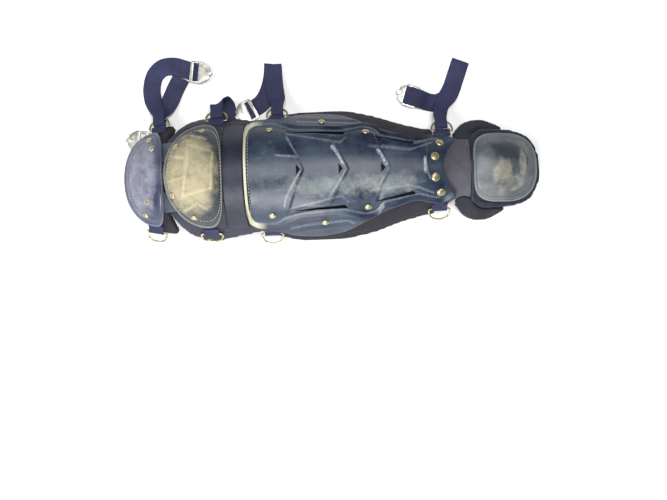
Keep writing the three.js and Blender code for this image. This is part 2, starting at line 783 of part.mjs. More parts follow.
// Where each ring's bar is, on the form, and how steeply its bow hangs
const padSizes = {
  thigh: { start: thighPadStart, length: thighPadLength, half: thighPadHalf },
  knee: { start: kneePadStart, length: kneePadLength, half: kneePadHalf },
  calf: { start: shinPadStart, length: shinPadLength, half: shinPadHalf },
  ankle: { start: anklePanelStart, length: anklePanelLength, half: anklePanelHalf },
};
const rings = [
  { name: 'thigh_upper', along: 0.839, across: 0.9225, tilt: 30 },
  { name: 'knee_upper', along: 0.5385, across: 0.866, tilt: 30 },
  { name: 'calf_upper', along: 0.102, pastPlate: 5.2, tilt: 32 },
  { name: 'ankle_upper', along: 0.2546, across: 0.9314, tilt: 24 },
  { name: 'thigh_lower', along: 0.6935, across: 0.9014, tilt: 32 },
  { name: 'knee_lower', along: 0.4465, across: 0.8537, tilt: 52 },
  { name: 'calf_lower', along: 0.052, pastPlate: 5.3, tilt: 34 },
  { name: 'ankle_lower', along: 0.0826, across: 0.9314, tilt: 30 },
];
function ringSeat({ name, along, across, pastPlate }) {
  const [place, side] = name.split('_');
  const pad = padSizes[place];
  const x = pad.start + pad.length * along;
  const plateAt = (x - shinPlateStart) / shinPlateLength;
  const y = across ? pad.half * across : shinPlateHalf * tableAt(shinPlateOutline, 'edge', plateAt) + pastPlate;
  return { x, y: side === 'upper' ? y : -y };
}
const ringPlaces = {};

// How far the form under a tab rises above the flat that touches it at the ring's bar
function highestUnderTab(x, y, normal) {
  const base = onForm(x, y, 0);
  let high = 0;
  for (const dx of [-0.5, -0.25, 0, 0.25, 0.5]) {
    for (const dy of [0, -0.35, -0.7]) {
      const point = onForm(x + dx * tabWidth, y + Math.sign(y) * dy * tabLength, 0);
      high = Math.max(high, point.sub(base).dot(normal));
    }
  }
  return high;
}

for (const ring of rings) {
  const { name, tilt } = ring;
  const { x, y } = ringSeat(ring);
  const side = Math.sign(y);
  const normal = formNormal(x, y);
  const barRise = ringWire + webbing * 0.8 + 2 * seatGap + highestUnderTab(x, y, normal);
  const bar = onForm(x, y, 0).addScaledVector(normal, barRise);
  const ringAlong = new THREE.Vector3(side, 0, 0).addScaledVector(normal, -side * normal.x).normalize();
  const down = new THREE.Vector3().crossVectors(normal, ringAlong);
  const tab = addPiece(`tab_${name}`, tabGeometry(), cloth('#2e2f55'));
  const tabAcross = new THREE.Vector3().crossVectors(down, normal);
  tab.quaternion.setFromRotationMatrix(new THREE.Matrix4().makeBasis(down, normal, tabAcross));
  tab.position.copy(bar);
  const lift = Math.asin(-down.z) - THREE.MathUtils.degToRad(tilt);
  const hang = down.clone().multiplyScalar(Math.cos(lift)).addScaledVector(normal, Math.sin(lift));
  const ringNormal = new THREE.Vector3().crossVectors(ringAlong, hang);
  const wire = addPiece(`ring_${name}`, wireLoop(ringPath(), ringWire, 6), metal('#c9bd8f'));
  wire.quaternion.setFromRotationMatrix(new THREE.Matrix4().makeBasis(ringAlong, hang, ringNormal));
  wire.position.copy(bar);
  ringPlaces[name] = { bar, hang, normal: ringNormal, along: ringAlong };
}

// Webbing ribbon along a route: a smooth curve through the points, its flat side carried along unturned,
// level where it lies low and square to the ring where the ring holds it
function ribbon(route, side, steps, ringAlong) {
  const curve = new THREE.CatmullRomCurve3(route.map((stop) => stop.point), false, 'centripetal');
  const stops = route.map((stop, k) => ({
    at: k / (route.length - 1),
    width: stop.width ?? strapWidth,
    held: stop.held ?? 0,
  }));
  const across = side.clone();
  const points = [];
  for (let k = 0; k <= steps; k += 1) {
    const share = k / steps;
    const along = curve.getTangent(share);
    const middle = curve.getPoint(share);
    const held = ringAlong.clone().multiplyScalar(Math.sign(across.dot(ringAlong)));
    across.z *= THREE.MathUtils.smoothstep(middle.z, layFlatBelow, layFlatBelow * 4);
    across.lerp(held, tableAt(stops, 'held', share));
    across.addScaledVector(along, -across.dot(along)).normalize();
    const out = new THREE.Vector3().crossVectors(along, across);
    const half = tableAt(stops, 'width', share) / 2;
    for (const [w, t] of [[-1, -1], [1, -1], [1, 1], [-1, 1]]) {
      points.push(middle.clone().addScaledVector(across, w * half).addScaledVector(out, (t * webbing) / 2));
    }
  }
  const faces = [[0, 2, 1], [0, 3, 2]];
  const end = steps * 4;
  faces.push([end, end + 1, end + 2], [end, end + 2, end + 3]);
  for (let k = 0; k < steps; k += 1) {
    for (let c = 0; c < 4; c += 1) {
      const [a, b] = [k * 4 + c, k * 4 + ((c + 1) % 4)];
      faces.push([a, b, b + 4], [a, b + 4, a + 4]);
    }
  }
  return geometryOf(points, faces);
}

// Stops of a route round a ring's bow: out along the ring, and above (+) or below (-) it
function throughRing(name) {
  const { bar, hang, normal } = ringPlaces[name];
  const clear = ringWire + webbing / 2 + seatGap;
  const stop = (out, rise, width) => ({
    point: bar.clone().addScaledVector(hang, out).addScaledVector(normal, rise),
    width,
    held: 1,
  });
  const inside = ringReach * 0.5;
  return [
    stop(ringReach + 9, clear + 0.2, strapPinch + 2),
    stop(ringReach + 1, clear + 0.4, strapPinch),
    stop(inside + 2.2, clear - 0.2, strapPinch),
    stop(inside - 0.4, 0, strapPinch),
    stop(inside + 2.2, -clear + 0.2, strapPinch),
    stop(ringReach + 1, -clear - 0.4, strapPinch),
    stop(ringReach + 9, -clear - 0.2, strapPinch + 2),
  ];
}
const stopAt = (x, y, z, width) => ({ point: new THREE.Vector3(x, y, z), width });
const onFloor = webbing / 2 + 0.2;
const overOne = onFloor + webbing + 0.5;

// Routes of the straps, as they lie
const strapRoutes = {
  thigh: [
    stopAt(-181, 144, onFloor + 0.6),
    stopAt(-190, 145.5, onFloor),
    stopAt(-203, 150, overOne - 0.8),
    stopAt(-217, 154, overOne),
    stopAt(-232, 152.5, overOne - 0.5),
    stopAt(-243, 143, onFloor + 0.5),
    stopAt(-248, 127, onFloor),
    stopAt(-247, 111, onFloor + 1.5),
    stopAt(-242.5, 98, 6.5, 20),
    ...throughRing('thigh_upper'),
    stopAt(-229, 97, 5, 20),
    stopAt(-223, 110, onFloor + 0.6),
    stopAt(-216, 125, onFloor),
    stopAt(-208, 139, onFloor),
  ],
  knee: [
    stopAt(-261, 54, onFloor + 0.4),
    stopAt(-240, 50.5, onFloor),
    stopAt(-205, 47, onFloor),
    stopAt(-178, 47, onFloor),
    stopAt(-161, 54, onFloor),
    stopAt(-149, 68, onFloor),
    stopAt(-146.5, 84, onFloor + 0.2),
    stopAt(-149, 98, onFloor + 2.2),
    stopAt(-151.5, 103, onFloor + 6, 21),
    stopAt(-154, 101.5, 13, 19),
    ...throughRing('knee_upper').slice(0, -1),
  ],
  calf: [
    stopAt(-120, 90.5, onFloor + 0.4),
    stopAt(-112, 94, onFloor),
    stopAt(-100, 102.5, onFloor),
    stopAt(-92, 116, onFloor),
    stopAt(-87, 132, onFloor),
    stopAt(-85, 147, onFloor + 0.1),
    stopAt(-84.7, 151.6, onFloor + 1.4),
    stopAt(-84.5, 147, overOne + 0.5),
    stopAt(-84, 132, overOne + 0.3),
    stopAt(-82.5, 115, overOne + 2),
    stopAt(-80, 103, 9.5, 21),
    ...throughRing('calf_upper').slice(0, -1),
  ],
  ankle: [
    stopAt(90, 104.5, 6.4),
    stopAt(108, 98.5, 6.4),
    stopAt(119, 94.5, onFloor + 1),
    stopAt(126, 92.8, onFloor),
    stopAt(134, 92.5, onFloor),
    stopAt(144.5, 97.5, onFloor),
    stopAt(152.5, 109.5, onFloor),
    stopAt(159, 126, onFloor),
    stopAt(165, 142, onFloor + 0.1),
    stopAt(166.8, 146.6, onFloor + 1.4),
    stopAt(165, 142, overOne + 0.5),
    stopAt(158.5, 124, overOne + 0.3),
    stopAt(150, 103, overOne + 1),
    stopAt(139.5, 89, 7.5, 20),
    ...throughRing('ankle_upper').slice(0, -1),
  ],
};
const strapStarts = {
  thigh: new THREE.Vector3(0, 1, 0),
  knee: new THREE.Vector3(0, 1, 0),
  calf: new THREE.Vector3(-0.5, 0.86, 0),
  ankle: new THREE.Vector3(0.3, 0.95, 0),
};
const strapSteps = { thigh: 38, knee: 34, calf: 34, ankle: 38 };
for (const [name, route] of Object.entries(strapRoutes)) {
  const { along } = ringPlaces[`${name}_upper`];
  addPiece(`strap_${name}`, ribbon(route, strapStarts[name], strapSteps[name], along), cloth('#31325a'));
}

// Hook buckle: a cast slide with one slot for the webbing, a bevelled nose and the hook's round end
function buckleBody() {
  const [half, length] = [buckleWidth / 2, buckleLength];
  const outline = [[0, -half + 2], [2, -half], [length * 0.62, -half], [length, -half * 0.55],
    [length, half * 0.55], [length * 0.62, half], [2, half], [0, half - 2]];
  const slot = [[buckleBar, -half + 2.4], [buckleBar + buckleSlot, -half + 2.4],
    [buckleBar + buckleSlot, half - 2.4], [buckleBar, half - 2.4]];
  const body = asManifold(prism(outline, 0, buckleWall));
  const cut = asManifold(prism(slot, -1, buckleWall + 1));
  return body.subtract(cut);
}
function addBuckle(name, x, y, heading, z) {
  const body = buckleBody();
  const nose = asManifold(prism([[buckleLength - 4, -3.4], [buckleLength + 2, -2.6], [buckleLength + 4, 0],
    [buckleLength + 2, 2.6], [buckleLength - 4, 3.4]], 0.4, buckleWall + 1.8));
  const mesh = addPiece(`buckle_${name}`, fromManifold(body.add(nose)), metal('#c8ccd0'));
  mesh.rotation.z = THREE.MathUtils.degToRad(heading);
  mesh.position.set(x, y, z);
}
addBuckle('thigh', -195.5, 146, -7, buckleLift + 0.8);
addBuckle('knee', -255.5, 53.3, 172, buckleLift + 0.8);
addBuckle('calf', -111, 94.5, 207, buckleLift + 0.8);
addBuckle('ankle', 107, 99, 160, buckleLift);

guard.position.set(-layoutMiddleX, -layoutMiddleY, 0);

export default guard;
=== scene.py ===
# Catcher's leg guard, lying shell up: padded liner, moulded shells, webbing, rings and buckles
import math

import bmesh
import bpy
import numpy as np
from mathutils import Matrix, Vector


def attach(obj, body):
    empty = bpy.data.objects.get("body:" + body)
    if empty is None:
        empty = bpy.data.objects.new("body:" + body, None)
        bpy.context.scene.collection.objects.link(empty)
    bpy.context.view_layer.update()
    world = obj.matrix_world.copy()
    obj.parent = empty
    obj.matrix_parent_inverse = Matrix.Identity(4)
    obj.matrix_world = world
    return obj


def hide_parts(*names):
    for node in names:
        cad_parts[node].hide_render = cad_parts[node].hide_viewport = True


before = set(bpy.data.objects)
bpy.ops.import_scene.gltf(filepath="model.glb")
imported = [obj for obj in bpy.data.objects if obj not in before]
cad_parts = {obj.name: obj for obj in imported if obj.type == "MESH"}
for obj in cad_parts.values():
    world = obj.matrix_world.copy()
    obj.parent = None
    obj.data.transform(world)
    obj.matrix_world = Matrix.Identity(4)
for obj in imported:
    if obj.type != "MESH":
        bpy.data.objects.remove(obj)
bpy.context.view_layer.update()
mm = 0.001
layoutMiddle = np.array([-10.5, 38.4, 0.0])  # the guard is laid out in mm from its kneecap, as in the CAD
print("frame loaded")


def linear(hexColour):
    parts = [int(hexColour[k : k + 2], 16) / 255 for k in (1, 3, 5)]
    return tuple(c / 12.92 if c <= 0.04045 else ((c + 0.055) / 1.055) ** 2.4 for c in parts) + (1,)


def addNode(tree, kind, settings=None, inputs=None):
    made = tree.nodes.new(kind)
    for key, value in (settings or {}).items():
        setattr(made, key, value)
    for key, value in (inputs or {}).items():
        if isinstance(value, bpy.types.NodeSocket):
            tree.links.new(value, made.inputs[key])
        else:
            made.inputs[key].default_value = value
    return made


def newMaterial(name, inputs=None):
    material = bpy.data.materials.new(name)
    material.use_nodes = True
    tree = material.node_tree
    skin = tree.nodes["Principled BSDF"]
    for key, value in (inputs or {}).items():
        skin.inputs[key].default_value = value
    return material, tree, skin


def applied(piece):
    depsgraph = bpy.context.evaluated_depsgraph_get()
    mesh = bpy.data.meshes.new_from_object(piece.evaluated_get(depsgraph))
    old = piece.data
    piece.modifiers.clear()
    piece.data = mesh
    bpy.data.meshes.remove(old)
    return piece


def smoothFaces(mesh):
    mesh.polygons.foreach_set("use_smooth", [True] * len(mesh.polygons))


# A node group's inputs are set by their sockets' identifiers, before the piece is first evaluated
def setInputs(modifier, values):
    for item in modifier.node_group.interface.items_tree:
        if item.in_out == "INPUT" and item.name in values:
            modifier[item.identifier] = values[item.name]


def linked(name, data):
    made = bpy.data.objects.new(name, data)
    bpy.context.scene.collection.objects.link(made)
    return made


def addPiece(name, points, faces, material, smooth=True):
    mesh = bpy.data.meshes.new(name)
    places = (np.asarray(points).reshape(-1, 3) - layoutMiddle) * mm
    mesh.from_pydata(places.tolist(), [], faces)
    mesh.validate()
    mesh.update()
    if smooth:
        smoothFaces(mesh)
    mesh.materials.append(material)
    return linked(name, mesh)


def copyOf(node, name, material):
    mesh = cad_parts[node].data.copy()
    mesh.name = name
    mesh.materials.clear()
    mesh.materials.append(material)
    shape = bmesh.new()
    shape.from_mesh(mesh)
    bmesh.ops.remove_doubles(shape, verts=shape.verts, dist=1e-6)
    shape.to_mesh(mesh)
    shape.free()
    return linked(name, mesh)


def coordinates(mesh):
    flat = np.empty(len(mesh.vertices) * 3)
    mesh.vertices.foreach_get("co", flat)
    return flat.reshape(-1, 3)


def localPoints(mesh):
    return coordinates(mesh) / mm + layoutMiddle


def setLocalPoints(mesh, points):
    mesh.vertices.foreach_set("co", ((points - layoutMiddle) * mm).ravel())
    mesh.update()


def setAttribute(mesh, name, values):
    layer = mesh.attributes.new(name, "FLOAT", "POINT")
    layer.data.foreach_set("value", np.asarray(values, float).ravel())


def finishPiece(piece, slot, *nodes):
    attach(piece, "root")
    if nodes:
        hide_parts(*nodes)
    return piece


# Closed sheet between an upper and a lower grid of points
def gridSolid(upper, lower):
    rows, columns = upper.shape[:2]
    index = np.arange(rows * columns).reshape(rows, columns)
    low = index + rows * columns
    a, b, c, d = index[:-1, :-1], index[1:, :-1], index[1:, 1:], index[:-1, 1:]
    faces = np.stack([a, b, c, d], -1).reshape(-1, 4).tolist()
    a, b, c, d = low[:-1, :-1], low[:-1, 1:], low[1:, 1:], low[1:, :-1]
    faces += np.stack([a, b, c, d], -1).reshape(-1, 4).tolist()
    edge = np.concatenate([index[0, :], index[1:, -1], index[-1, -2::-1], index[-2:0:-1, 0]])
    nextEdge = np.roll(edge, -1)
    faces += np.stack([edge, nextEdge, nextEdge + rows * columns, edge + rows * columns], -1).tolist()
    return np.concatenate([upper.reshape(-1, 3), lower.reshape(-1, 3)]), faces


form = {"start": -290, "length": 558, "half": 86, "height": 88, "roundness": 2.1}
formSections = {
    "at": [0, 0.018, 0.05, 0.09, 0.122, 0.152, 0.188, 0.233, 0.306, 0.43, 0.52, 0.6, 0.664, 0.7, 0.745,
           0.789, 0.817, 0.846, 0.878, 0.914, 0.95, 0.978, 1],
    "half": [0.86, 0.88, 0.905, 0.935, 0.96, 0.985, 1, 1, 1, 1, 1.01, 0.92, 0.79, 0.72, 0.675,
             0.71, 0.76, 0.79, 0.77, 0.7, 0.64, 0.58, 0.535],
    "crown": [0.09, 0.23, 0.43, 0.63, 0.78, 0.89, 0.97, 1, 1, 0.965, 0.92, 0.855, 0.79, 0.75, 0.69,
              0.61, 0.555, 0.515, 0.465, 0.385, 0.295, 0.205, 0.12],
}


# Value of a table's column at places along it, on a smooth curve that doesn't overshoot
def tableAt(table, column, places):
    at, values = np.array(table["at"], float), np.array(table[column], float)
    slopes = np.diff(values) / np.diff(at)
    before, after = slopes[:-1], slopes[1:]
    same = before * after > 0
    inner = np.where(same, 2 * before * after / np.where(same, before + after, 1), 0)
    tangents = np.concatenate([slopes[:1], inner, slopes[-1:]])
    places = np.asarray(places, float)
    i = np.clip(np.searchsorted(at, places, side="right") - 1, 0, len(at) - 2)
    span = at[i + 1] - at[i]
    t = np.clip((places - at[i]) / span, 0, 1)
    rise = values[i + 1] - values[i]
    m0, m1 = tangents[i] * span, tangents[i + 1] * span
    return values[i] + t * m0 + t * t * (3 * rise - 2 * m0 - m1) + t**3 * (m0 + m1 - 2 * rise)


def formZ(x, y):
    at = (np.asarray(x, float) - form["start"]) / form["length"]
    half = form["half"] * tableAt(formSections, "half", at)
    crown = form["height"] * tableAt(formSections, "crown", at)
    return crown * (1 - (np.abs(y) / half) ** form["roundness"])


def formNormal(x, y):
    reach = 0.5
    slopeX = (formZ(x + reach, y) - formZ(x - reach, y)) / (2 * reach)
    slopeY = (formZ(x, y + reach) - formZ(x, y - reach)) / (2 * reach)
    normal = np.stack([-slopeX, -slopeY, np.ones_like(slopeX)], -1)
    return normal / np.linalg.norm(normal, axis=-1, keepdims=True)


def onForm(x, y, height, floor=0.0):
    x, y, height = np.broadcast_arrays(np.asarray(x, float), np.asarray(y, float), np.asarray(height, float))
    points = np.stack([x, y, formZ(x, y)], -1) + formNormal(x, y) * height[..., None]
    points[..., 2] = np.maximum(points[..., 2], floor)
    return points


# Distance from each point (x, y) to a line of points
def distanceTo(line, x, y):
    nearest = np.full(np.shape(x), 1e9)
    for (x0, y0), (x1, y1) in zip(line[:-1], line[1:]):
        dx, dy = x1 - x0, y1 - y0
        t = np.clip(((x - x0) * dx + (y - y0) * dy) / (dx * dx + dy * dy), 0, 1)
        nearest = np.minimum(nearest, np.hypot(x - x0 - t * dx, y - y0 - t * dy))
    return nearest


# 1 within a width in mm of the nearest line and 0 beyond it, with a soft edge
def band(lines, x, y, width, edge=0.8):
    nearest = np.min([distanceTo(line, x, y) for line in lines], axis=0)
    return np.clip((width - nearest) / edge + 0.5, 0, 1)


# 1 on the nearest line, falling off roundly over a width in mm, as a raised line does
def ridges(lines, x, y, width):
    nearest = np.min([distanceTo(line, x, y) for line in lines], axis=0)
    return np.exp(-((nearest / width) ** 2))


view = {"height": 1.0, "aside": (-0.0024, -0.1382), "turn": -2.2, "lens": 40.16}
lights = {
    "key": {"at": (-0.35, -1.3, 0.85), "size": 0.7, "power": 27},
    "overhead": {"at": (0.15, 0.2, 1.9), "size": 1.2, "power": 31},
    "side": {"at": (-1.2, 0.25, 0.9), "size": 0.7, "power": 7},
}
skyStrength = 0.16
floorReach = 3  # metres from the middle to each side
scene = bpy.context.scene
camera = linked("camera", bpy.data.cameras.new("camera"))
camera.location = (*view["aside"], view["height"])
camera.rotation_euler = (0, 0, math.radians(view["turn"]))
camera.data.lens = view["lens"]
camera.data.sensor_width = 36
scene.camera = camera
for name, light in lights.items():
    lamp = linked(name, bpy.data.lights.new(name, "AREA"))
    lamp.data.shape = "DISK"
    lamp.data.size = light["size"]
    lamp.data.energy = light["power"]
    lamp.location = light["at"]
    lamp.rotation_euler = (-Vector(light["at"])).to_track_quat("-Z", "Y").to_euler()
world = bpy.data.worlds.new("studio")
world.use_nodes = True
world.node_tree.nodes["Background"].inputs["Color"].default_value = (1, 1, 1, 1)
world.node_tree.nodes["Background"].inputs["Strength"].default_value = skyStrength
scene.world = world
scene.view_settings.view_transform = "Standard"

paleFloor, _, _ = newMaterial("pale floor, matte paint", {"Base Color": linear("#fbfbfb"), "Roughness": 0.9})
floorMesh = bpy.data.meshes.new("floor")
corners = [(x * floorReach, y * floorReach, 0) for x, y in ((-1, -1), (1, -1), (1, 1), (-1, 1))]
floorMesh.from_pydata(corners, [], [(0, 1, 2, 3)])
floorMesh.materials.append(paleFloor)
floor = linked("floor", floorMesh)
print("camera, light and floor")


# Polyethylene sheet, pressed in a mould: a waxy half gloss that clouds with age, pale where it is rubbed,
# fine scratches along the leg, pale painted highlights along crisp edges and in soft patches. Wear with the
# edge highlights, dust with the soft highlights, and rim come from the mesh, the rest from noise
def mouldedPlastic(name, look):
    material, tree, skin = newMaterial(name, {"IOR": 1.51})
    place = addNode(tree, "ShaderNodeTexCoord").outputs["Object"]
    masks = {key: addNode(tree, "ShaderNodeAttribute", {"attribute_name": key}).outputs["Fac"]
             for key in ("wearAndHighlight", "dustAndHighlight", "rim")}
    cloud = addNode(tree, "ShaderNodeTexNoise", inputs={
        "Vector": place, "Scale": 24, "Detail": 7, "Roughness": 0.62})
    clouding = addNode(tree, "ShaderNodeMapRange", inputs={
        "Value": cloud.outputs["Fac"], "From Min": 0.38, "From Max": 0.7, "To Max": look["clouding"]})
    grain = addNode(tree, "ShaderNodeTexNoise", inputs={
        "Vector": place, "Scale": 420, "Detail": 6, "Roughness": 0.7})
    turned = addNode(tree, "ShaderNodeMapping", inputs={
        "Vector": place, "Rotation": (0, 0, 0.6), "Scale": (1, 14, 1)})
    lines = addNode(tree, "ShaderNodeTexNoise", inputs={
        "Vector": turned.outputs[0], "Scale": 90, "Detail": 4, "Roughness": 0.75})
    scratch = addNode(tree, "ShaderNodeMapRange", inputs={
        "Value": lines.outputs["Fac"], "From Min": 0.64, "From Max": 0.72, "To Max": look["scratches"]})
    rubbed = addNode(tree, "ShaderNodeMapRange", inputs={
        "Value": grain.outputs["Fac"], "From Min": 0.32, "From Max": 0.62})
    # The wear mask also holds painted highlights along crisp edges; the grain breaks them up as rubbing does
    wornAndLit = addNode(tree, "ShaderNodeMath", {"operation": "MULTIPLY"}, {
        0: masks["wearAndHighlight"], 1: rubbed.outputs[0]})
    scuffedAndLit = addNode(tree, "ShaderNodeMath", {"operation": "MAXIMUM"}, {
        0: wornAndLit.outputs[0], 1: scratch.outputs[0]})
    # The dust mask also holds painted soft highlights, mixed in with the dust colour and a ragged edge
    dustAndHighlightNoise = addNode(tree, "ShaderNodeTexNoise", inputs={
        "Vector": place, "Scale": 55, "Detail": 11, "Roughness": 0.8})
    ragged = addNode(tree, "ShaderNodeMapRange", {"clamp": False}, {
        "Value": dustAndHighlightNoise.outputs["Fac"], "From Min": 0.35, "From Max": 0.68,
        "To Min": -0.6, "To Max": 0.25})
    dustAndHighlightEdge = addNode(tree, "ShaderNodeMath", {"operation": "MULTIPLY_ADD", "use_clamp": True}, {
        0: masks["dustAndHighlight"], 1: 1.25, 2: ragged.outputs[0]})
    dustAndHighlightCore = addNode(tree, "ShaderNodeMath", {"operation": "MULTIPLY", "use_clamp": True}, {
        0: masks["dustAndHighlight"], 1: 3.0})
    dustAndHighlightAmount = addNode(tree, "ShaderNodeMath", {"operation": "MULTIPLY", "use_clamp": True}, {
        0: dustAndHighlightEdge.outputs[0], 1: dustAndHighlightCore.outputs[0]})
    colour = linear(look["colour"])
    for factor, over in ((clouding.outputs[0], look["cloud"]), (dustAndHighlightAmount.outputs[0], look["dustAndHighlight"]),
                         (scuffedAndLit.outputs[0], look["scuffAndHighlight"]), (masks["rim"], look["rim"])):
        mixed = addNode(tree, "ShaderNodeMix", {"data_type": "RGBA"}, {0: factor, 6: colour, 7: linear(over)})
        colour = mixed.outputs[2]
    tree.links.new(colour, skin.inputs["Base Color"])
    dulled = addNode(tree, "ShaderNodeMapRange", inputs={
        "Value": cloud.outputs["Fac"], "From Min": 0.3, "From Max": 0.75,
        "To Min": look["roughness"], "To Max": look["roughness"] + 0.22})
    rough = addNode(tree, "ShaderNodeMath", {"operation": "MULTIPLY_ADD"}, {
        0: dustAndHighlightAmount.outputs[0], 1: 0.3, 2: dulled.outputs[0]})
    tree.links.new(rough.outputs[0], skin.inputs["Roughness"])
    relief = addNode(tree, "ShaderNodeMath", {"operation": "ADD"}, {
        0: lines.outputs["Fac"], 1: grain.outputs["Fac"]})
    bump = addNode(tree, "ShaderNodeBump", inputs={
        "Height": relief.outputs[0], "Strength": look["relief"], "Distance": 0.0003})
    tree.links.new(bump.outputs[0], skin.inputs["Normal"])
    return material


plasticLooks = {
    # Shin: the scuff colour is mostly painted highlight on the crisp edges; the dust colour is dust near the
    # knee end and a painted highlight band lower down
    "shin": {"colour": "#0a1830", "cloud": "#3c4b5b", "clouding": 0.8, "scuffAndHighlight": "#b4bcc8", "scratches": 0.22,
             "dustAndHighlight": "#868d89", "rim": "#c9c6a6", "roughness": 0.3, "relief": 0.25},
    "knee": {"colour": "#1b2230", "cloud": "#3c423f", "clouding": 0.8, "scuffAndHighlight": "#cfc69f", "scratches": 0.12,
             "dustAndHighlight": "#a0977a", "rim": "#8b908c", "roughness": 0.42, "relief": 0.35},
    # Thigh: the dust colour is a painted soft highlight on the cup
    "thigh": {"colour": "#2e3349", "cloud": "#525873", "clouding": 0.75, "scuffAndHighlight": "#a3a7b8", "scratches": 0.2,
              "dustAndHighlight": "#8f909e", "rim": "#84889a", "roughness": 0.3, "relief": 0.25},
    "toe": {"colour": "#333a43", "cloud": "#74787b", "clouding": 0.95, "scuffAndHighlight": "#a5a8a4", "scratches": 0.45,
            "dustAndHighlight": "#aaa58f", "rim": "#9a9d92", "roughness": 0.32, "relief": 0.4},
}
plastics = {key: mouldedPlastic(f"{key} shell, moulded polyethylene", look)
            for key, look in plasticLooks.items()}


# Knitted or coated polyester over foam: matt, with small cells of one size (drawn a little coarse so that
# they show), a tone that drifts and a faint fuzz at grazing angles
def paddingCloth(name, look):
    material, tree, skin = newMaterial(name, {"Roughness": look["roughness"], "Sheen Weight": look["sheen"],
                                              "Sheen Roughness": 0.5, "IOR": 1.46})
    skin.inputs["Sheen Tint"].default_value = linear(look["lit"])
    place = addNode(tree, "ShaderNodeTexCoord").outputs["Object"]
    cells = addNode(tree, "ShaderNodeTexVoronoi", {"feature": look["feature"]}, {
        "Vector": place, "Scale": 1 / (look["cell"] * mm), "Randomness": look["random"]})
    drift = addNode(tree, "ShaderNodeTexNoise", inputs={
        "Vector": place, "Scale": 38, "Detail": 6, "Roughness": 0.6})
    dark = addNode(tree, "ShaderNodeMapRange", inputs={
        "Value": cells.outputs["Distance"], "From Max": look["open"], "To Min": look["depth"], "To Max": 0})
    driftShare = addNode(tree, "ShaderNodeMapRange", inputs={
        "Value": drift.outputs["Fac"], "From Min": 0.36, "From Max": 0.68})
    tone = addNode(tree, "ShaderNodeMix", {"data_type": "RGBA"}, {
        0: driftShare.outputs[0], 6: linear(look["colour"]), 7: linear(look["lit"])})
    deep = addNode(tree, "ShaderNodeMix", {"data_type": "RGBA"}, {
        0: dark.outputs[0], 6: tone.outputs[2], 7: linear(look["shade"])})
    tree.links.new(deep.outputs[2], skin.inputs["Base Color"])
    bump = addNode(tree, "ShaderNodeBump", inputs={
        "Height": cells.outputs["Distance"], "Strength": look["relief"], "Distance": 0.0004})
    wide = addNode(tree, "ShaderNodeBump", inputs={
        "Height": drift.outputs["Fac"], "Strength": 0.35, "Distance": 0.003, "Normal": bump.outputs[0]})
    tree.links.new(wide.outputs[0], skin.inputs["Normal"])
    return material


clothLooks = {
    "liner": {"colour": "#1a1a23", "lit": "#2b2b35", "shade": "#0e0e14", "roughness": 0.85, "sheen": 0.08,
              "feature": "DISTANCE_TO_EDGE", "cell": 1.5, "random": 0.25, "open": 0.25, "depth": 0.8,
              "relief": 0.6},
    "vinyl": {"colour": "#121325", "lit": "#1f2137", "shade": "#0b0c18", "roughness": 0.55, "sheen": 0.04,
              "feature": "F1", "cell": 0.9, "random": 1.0, "open": 0.35, "depth": 0.35, "relief": 0.4},
    "band": {"colour": "#15172a", "lit": "#1f2238", "shade": "#10111e", "roughness": 0.5, "sheen": 0.02,
             "feature": "F1", "cell": 0.8, "random": 1.0, "open": 0.3, "depth": 0.3, "relief": 0.25},
    "mesh": {"colour": "#4b4a52", "lit": "#605f68", "shade": "#2b2830", "roughness": 0.9, "sheen": 0.1,
             "feature": "DISTANCE_TO_EDGE", "cell": 1.2, "random": 0.6, "open": 0.3, "depth": 0.5,
             "relief": 0.3},
    "flap": {"colour": "#20222c", "lit": "#32343f", "shade": "#121218", "roughness": 0.85, "sheen": 0.08,
             "feature": "DISTANCE_TO_EDGE", "cell": 1.3, "random": 0.25, "open": 0.25, "depth": 0.7,
             "relief": 0.5},
    "binding": {"colour": "#1b1c2c", "lit": "#2c2e46", "shade": "#0d0e18", "roughness": 0.8, "sheen": 0.05,
                "feature": "F1", "cell": 0.7, "random": 0.3, "open": 0.4, "depth": 0.5, "relief": 0.4},
}
clothNames = {
    "liner": "liner, knitted polyester", "vinyl": "knee pad, coated cloth",
    "band": "band, smooth coated cloth", "mesh": "ankle panel, spacer mesh",
    "flap": "ankle wings, knitted polyester", "binding": "edge binding, folded tape",
}
cloths = {key: paddingCloth(clothNames[key], look) for key, look in clothLooks.items()}


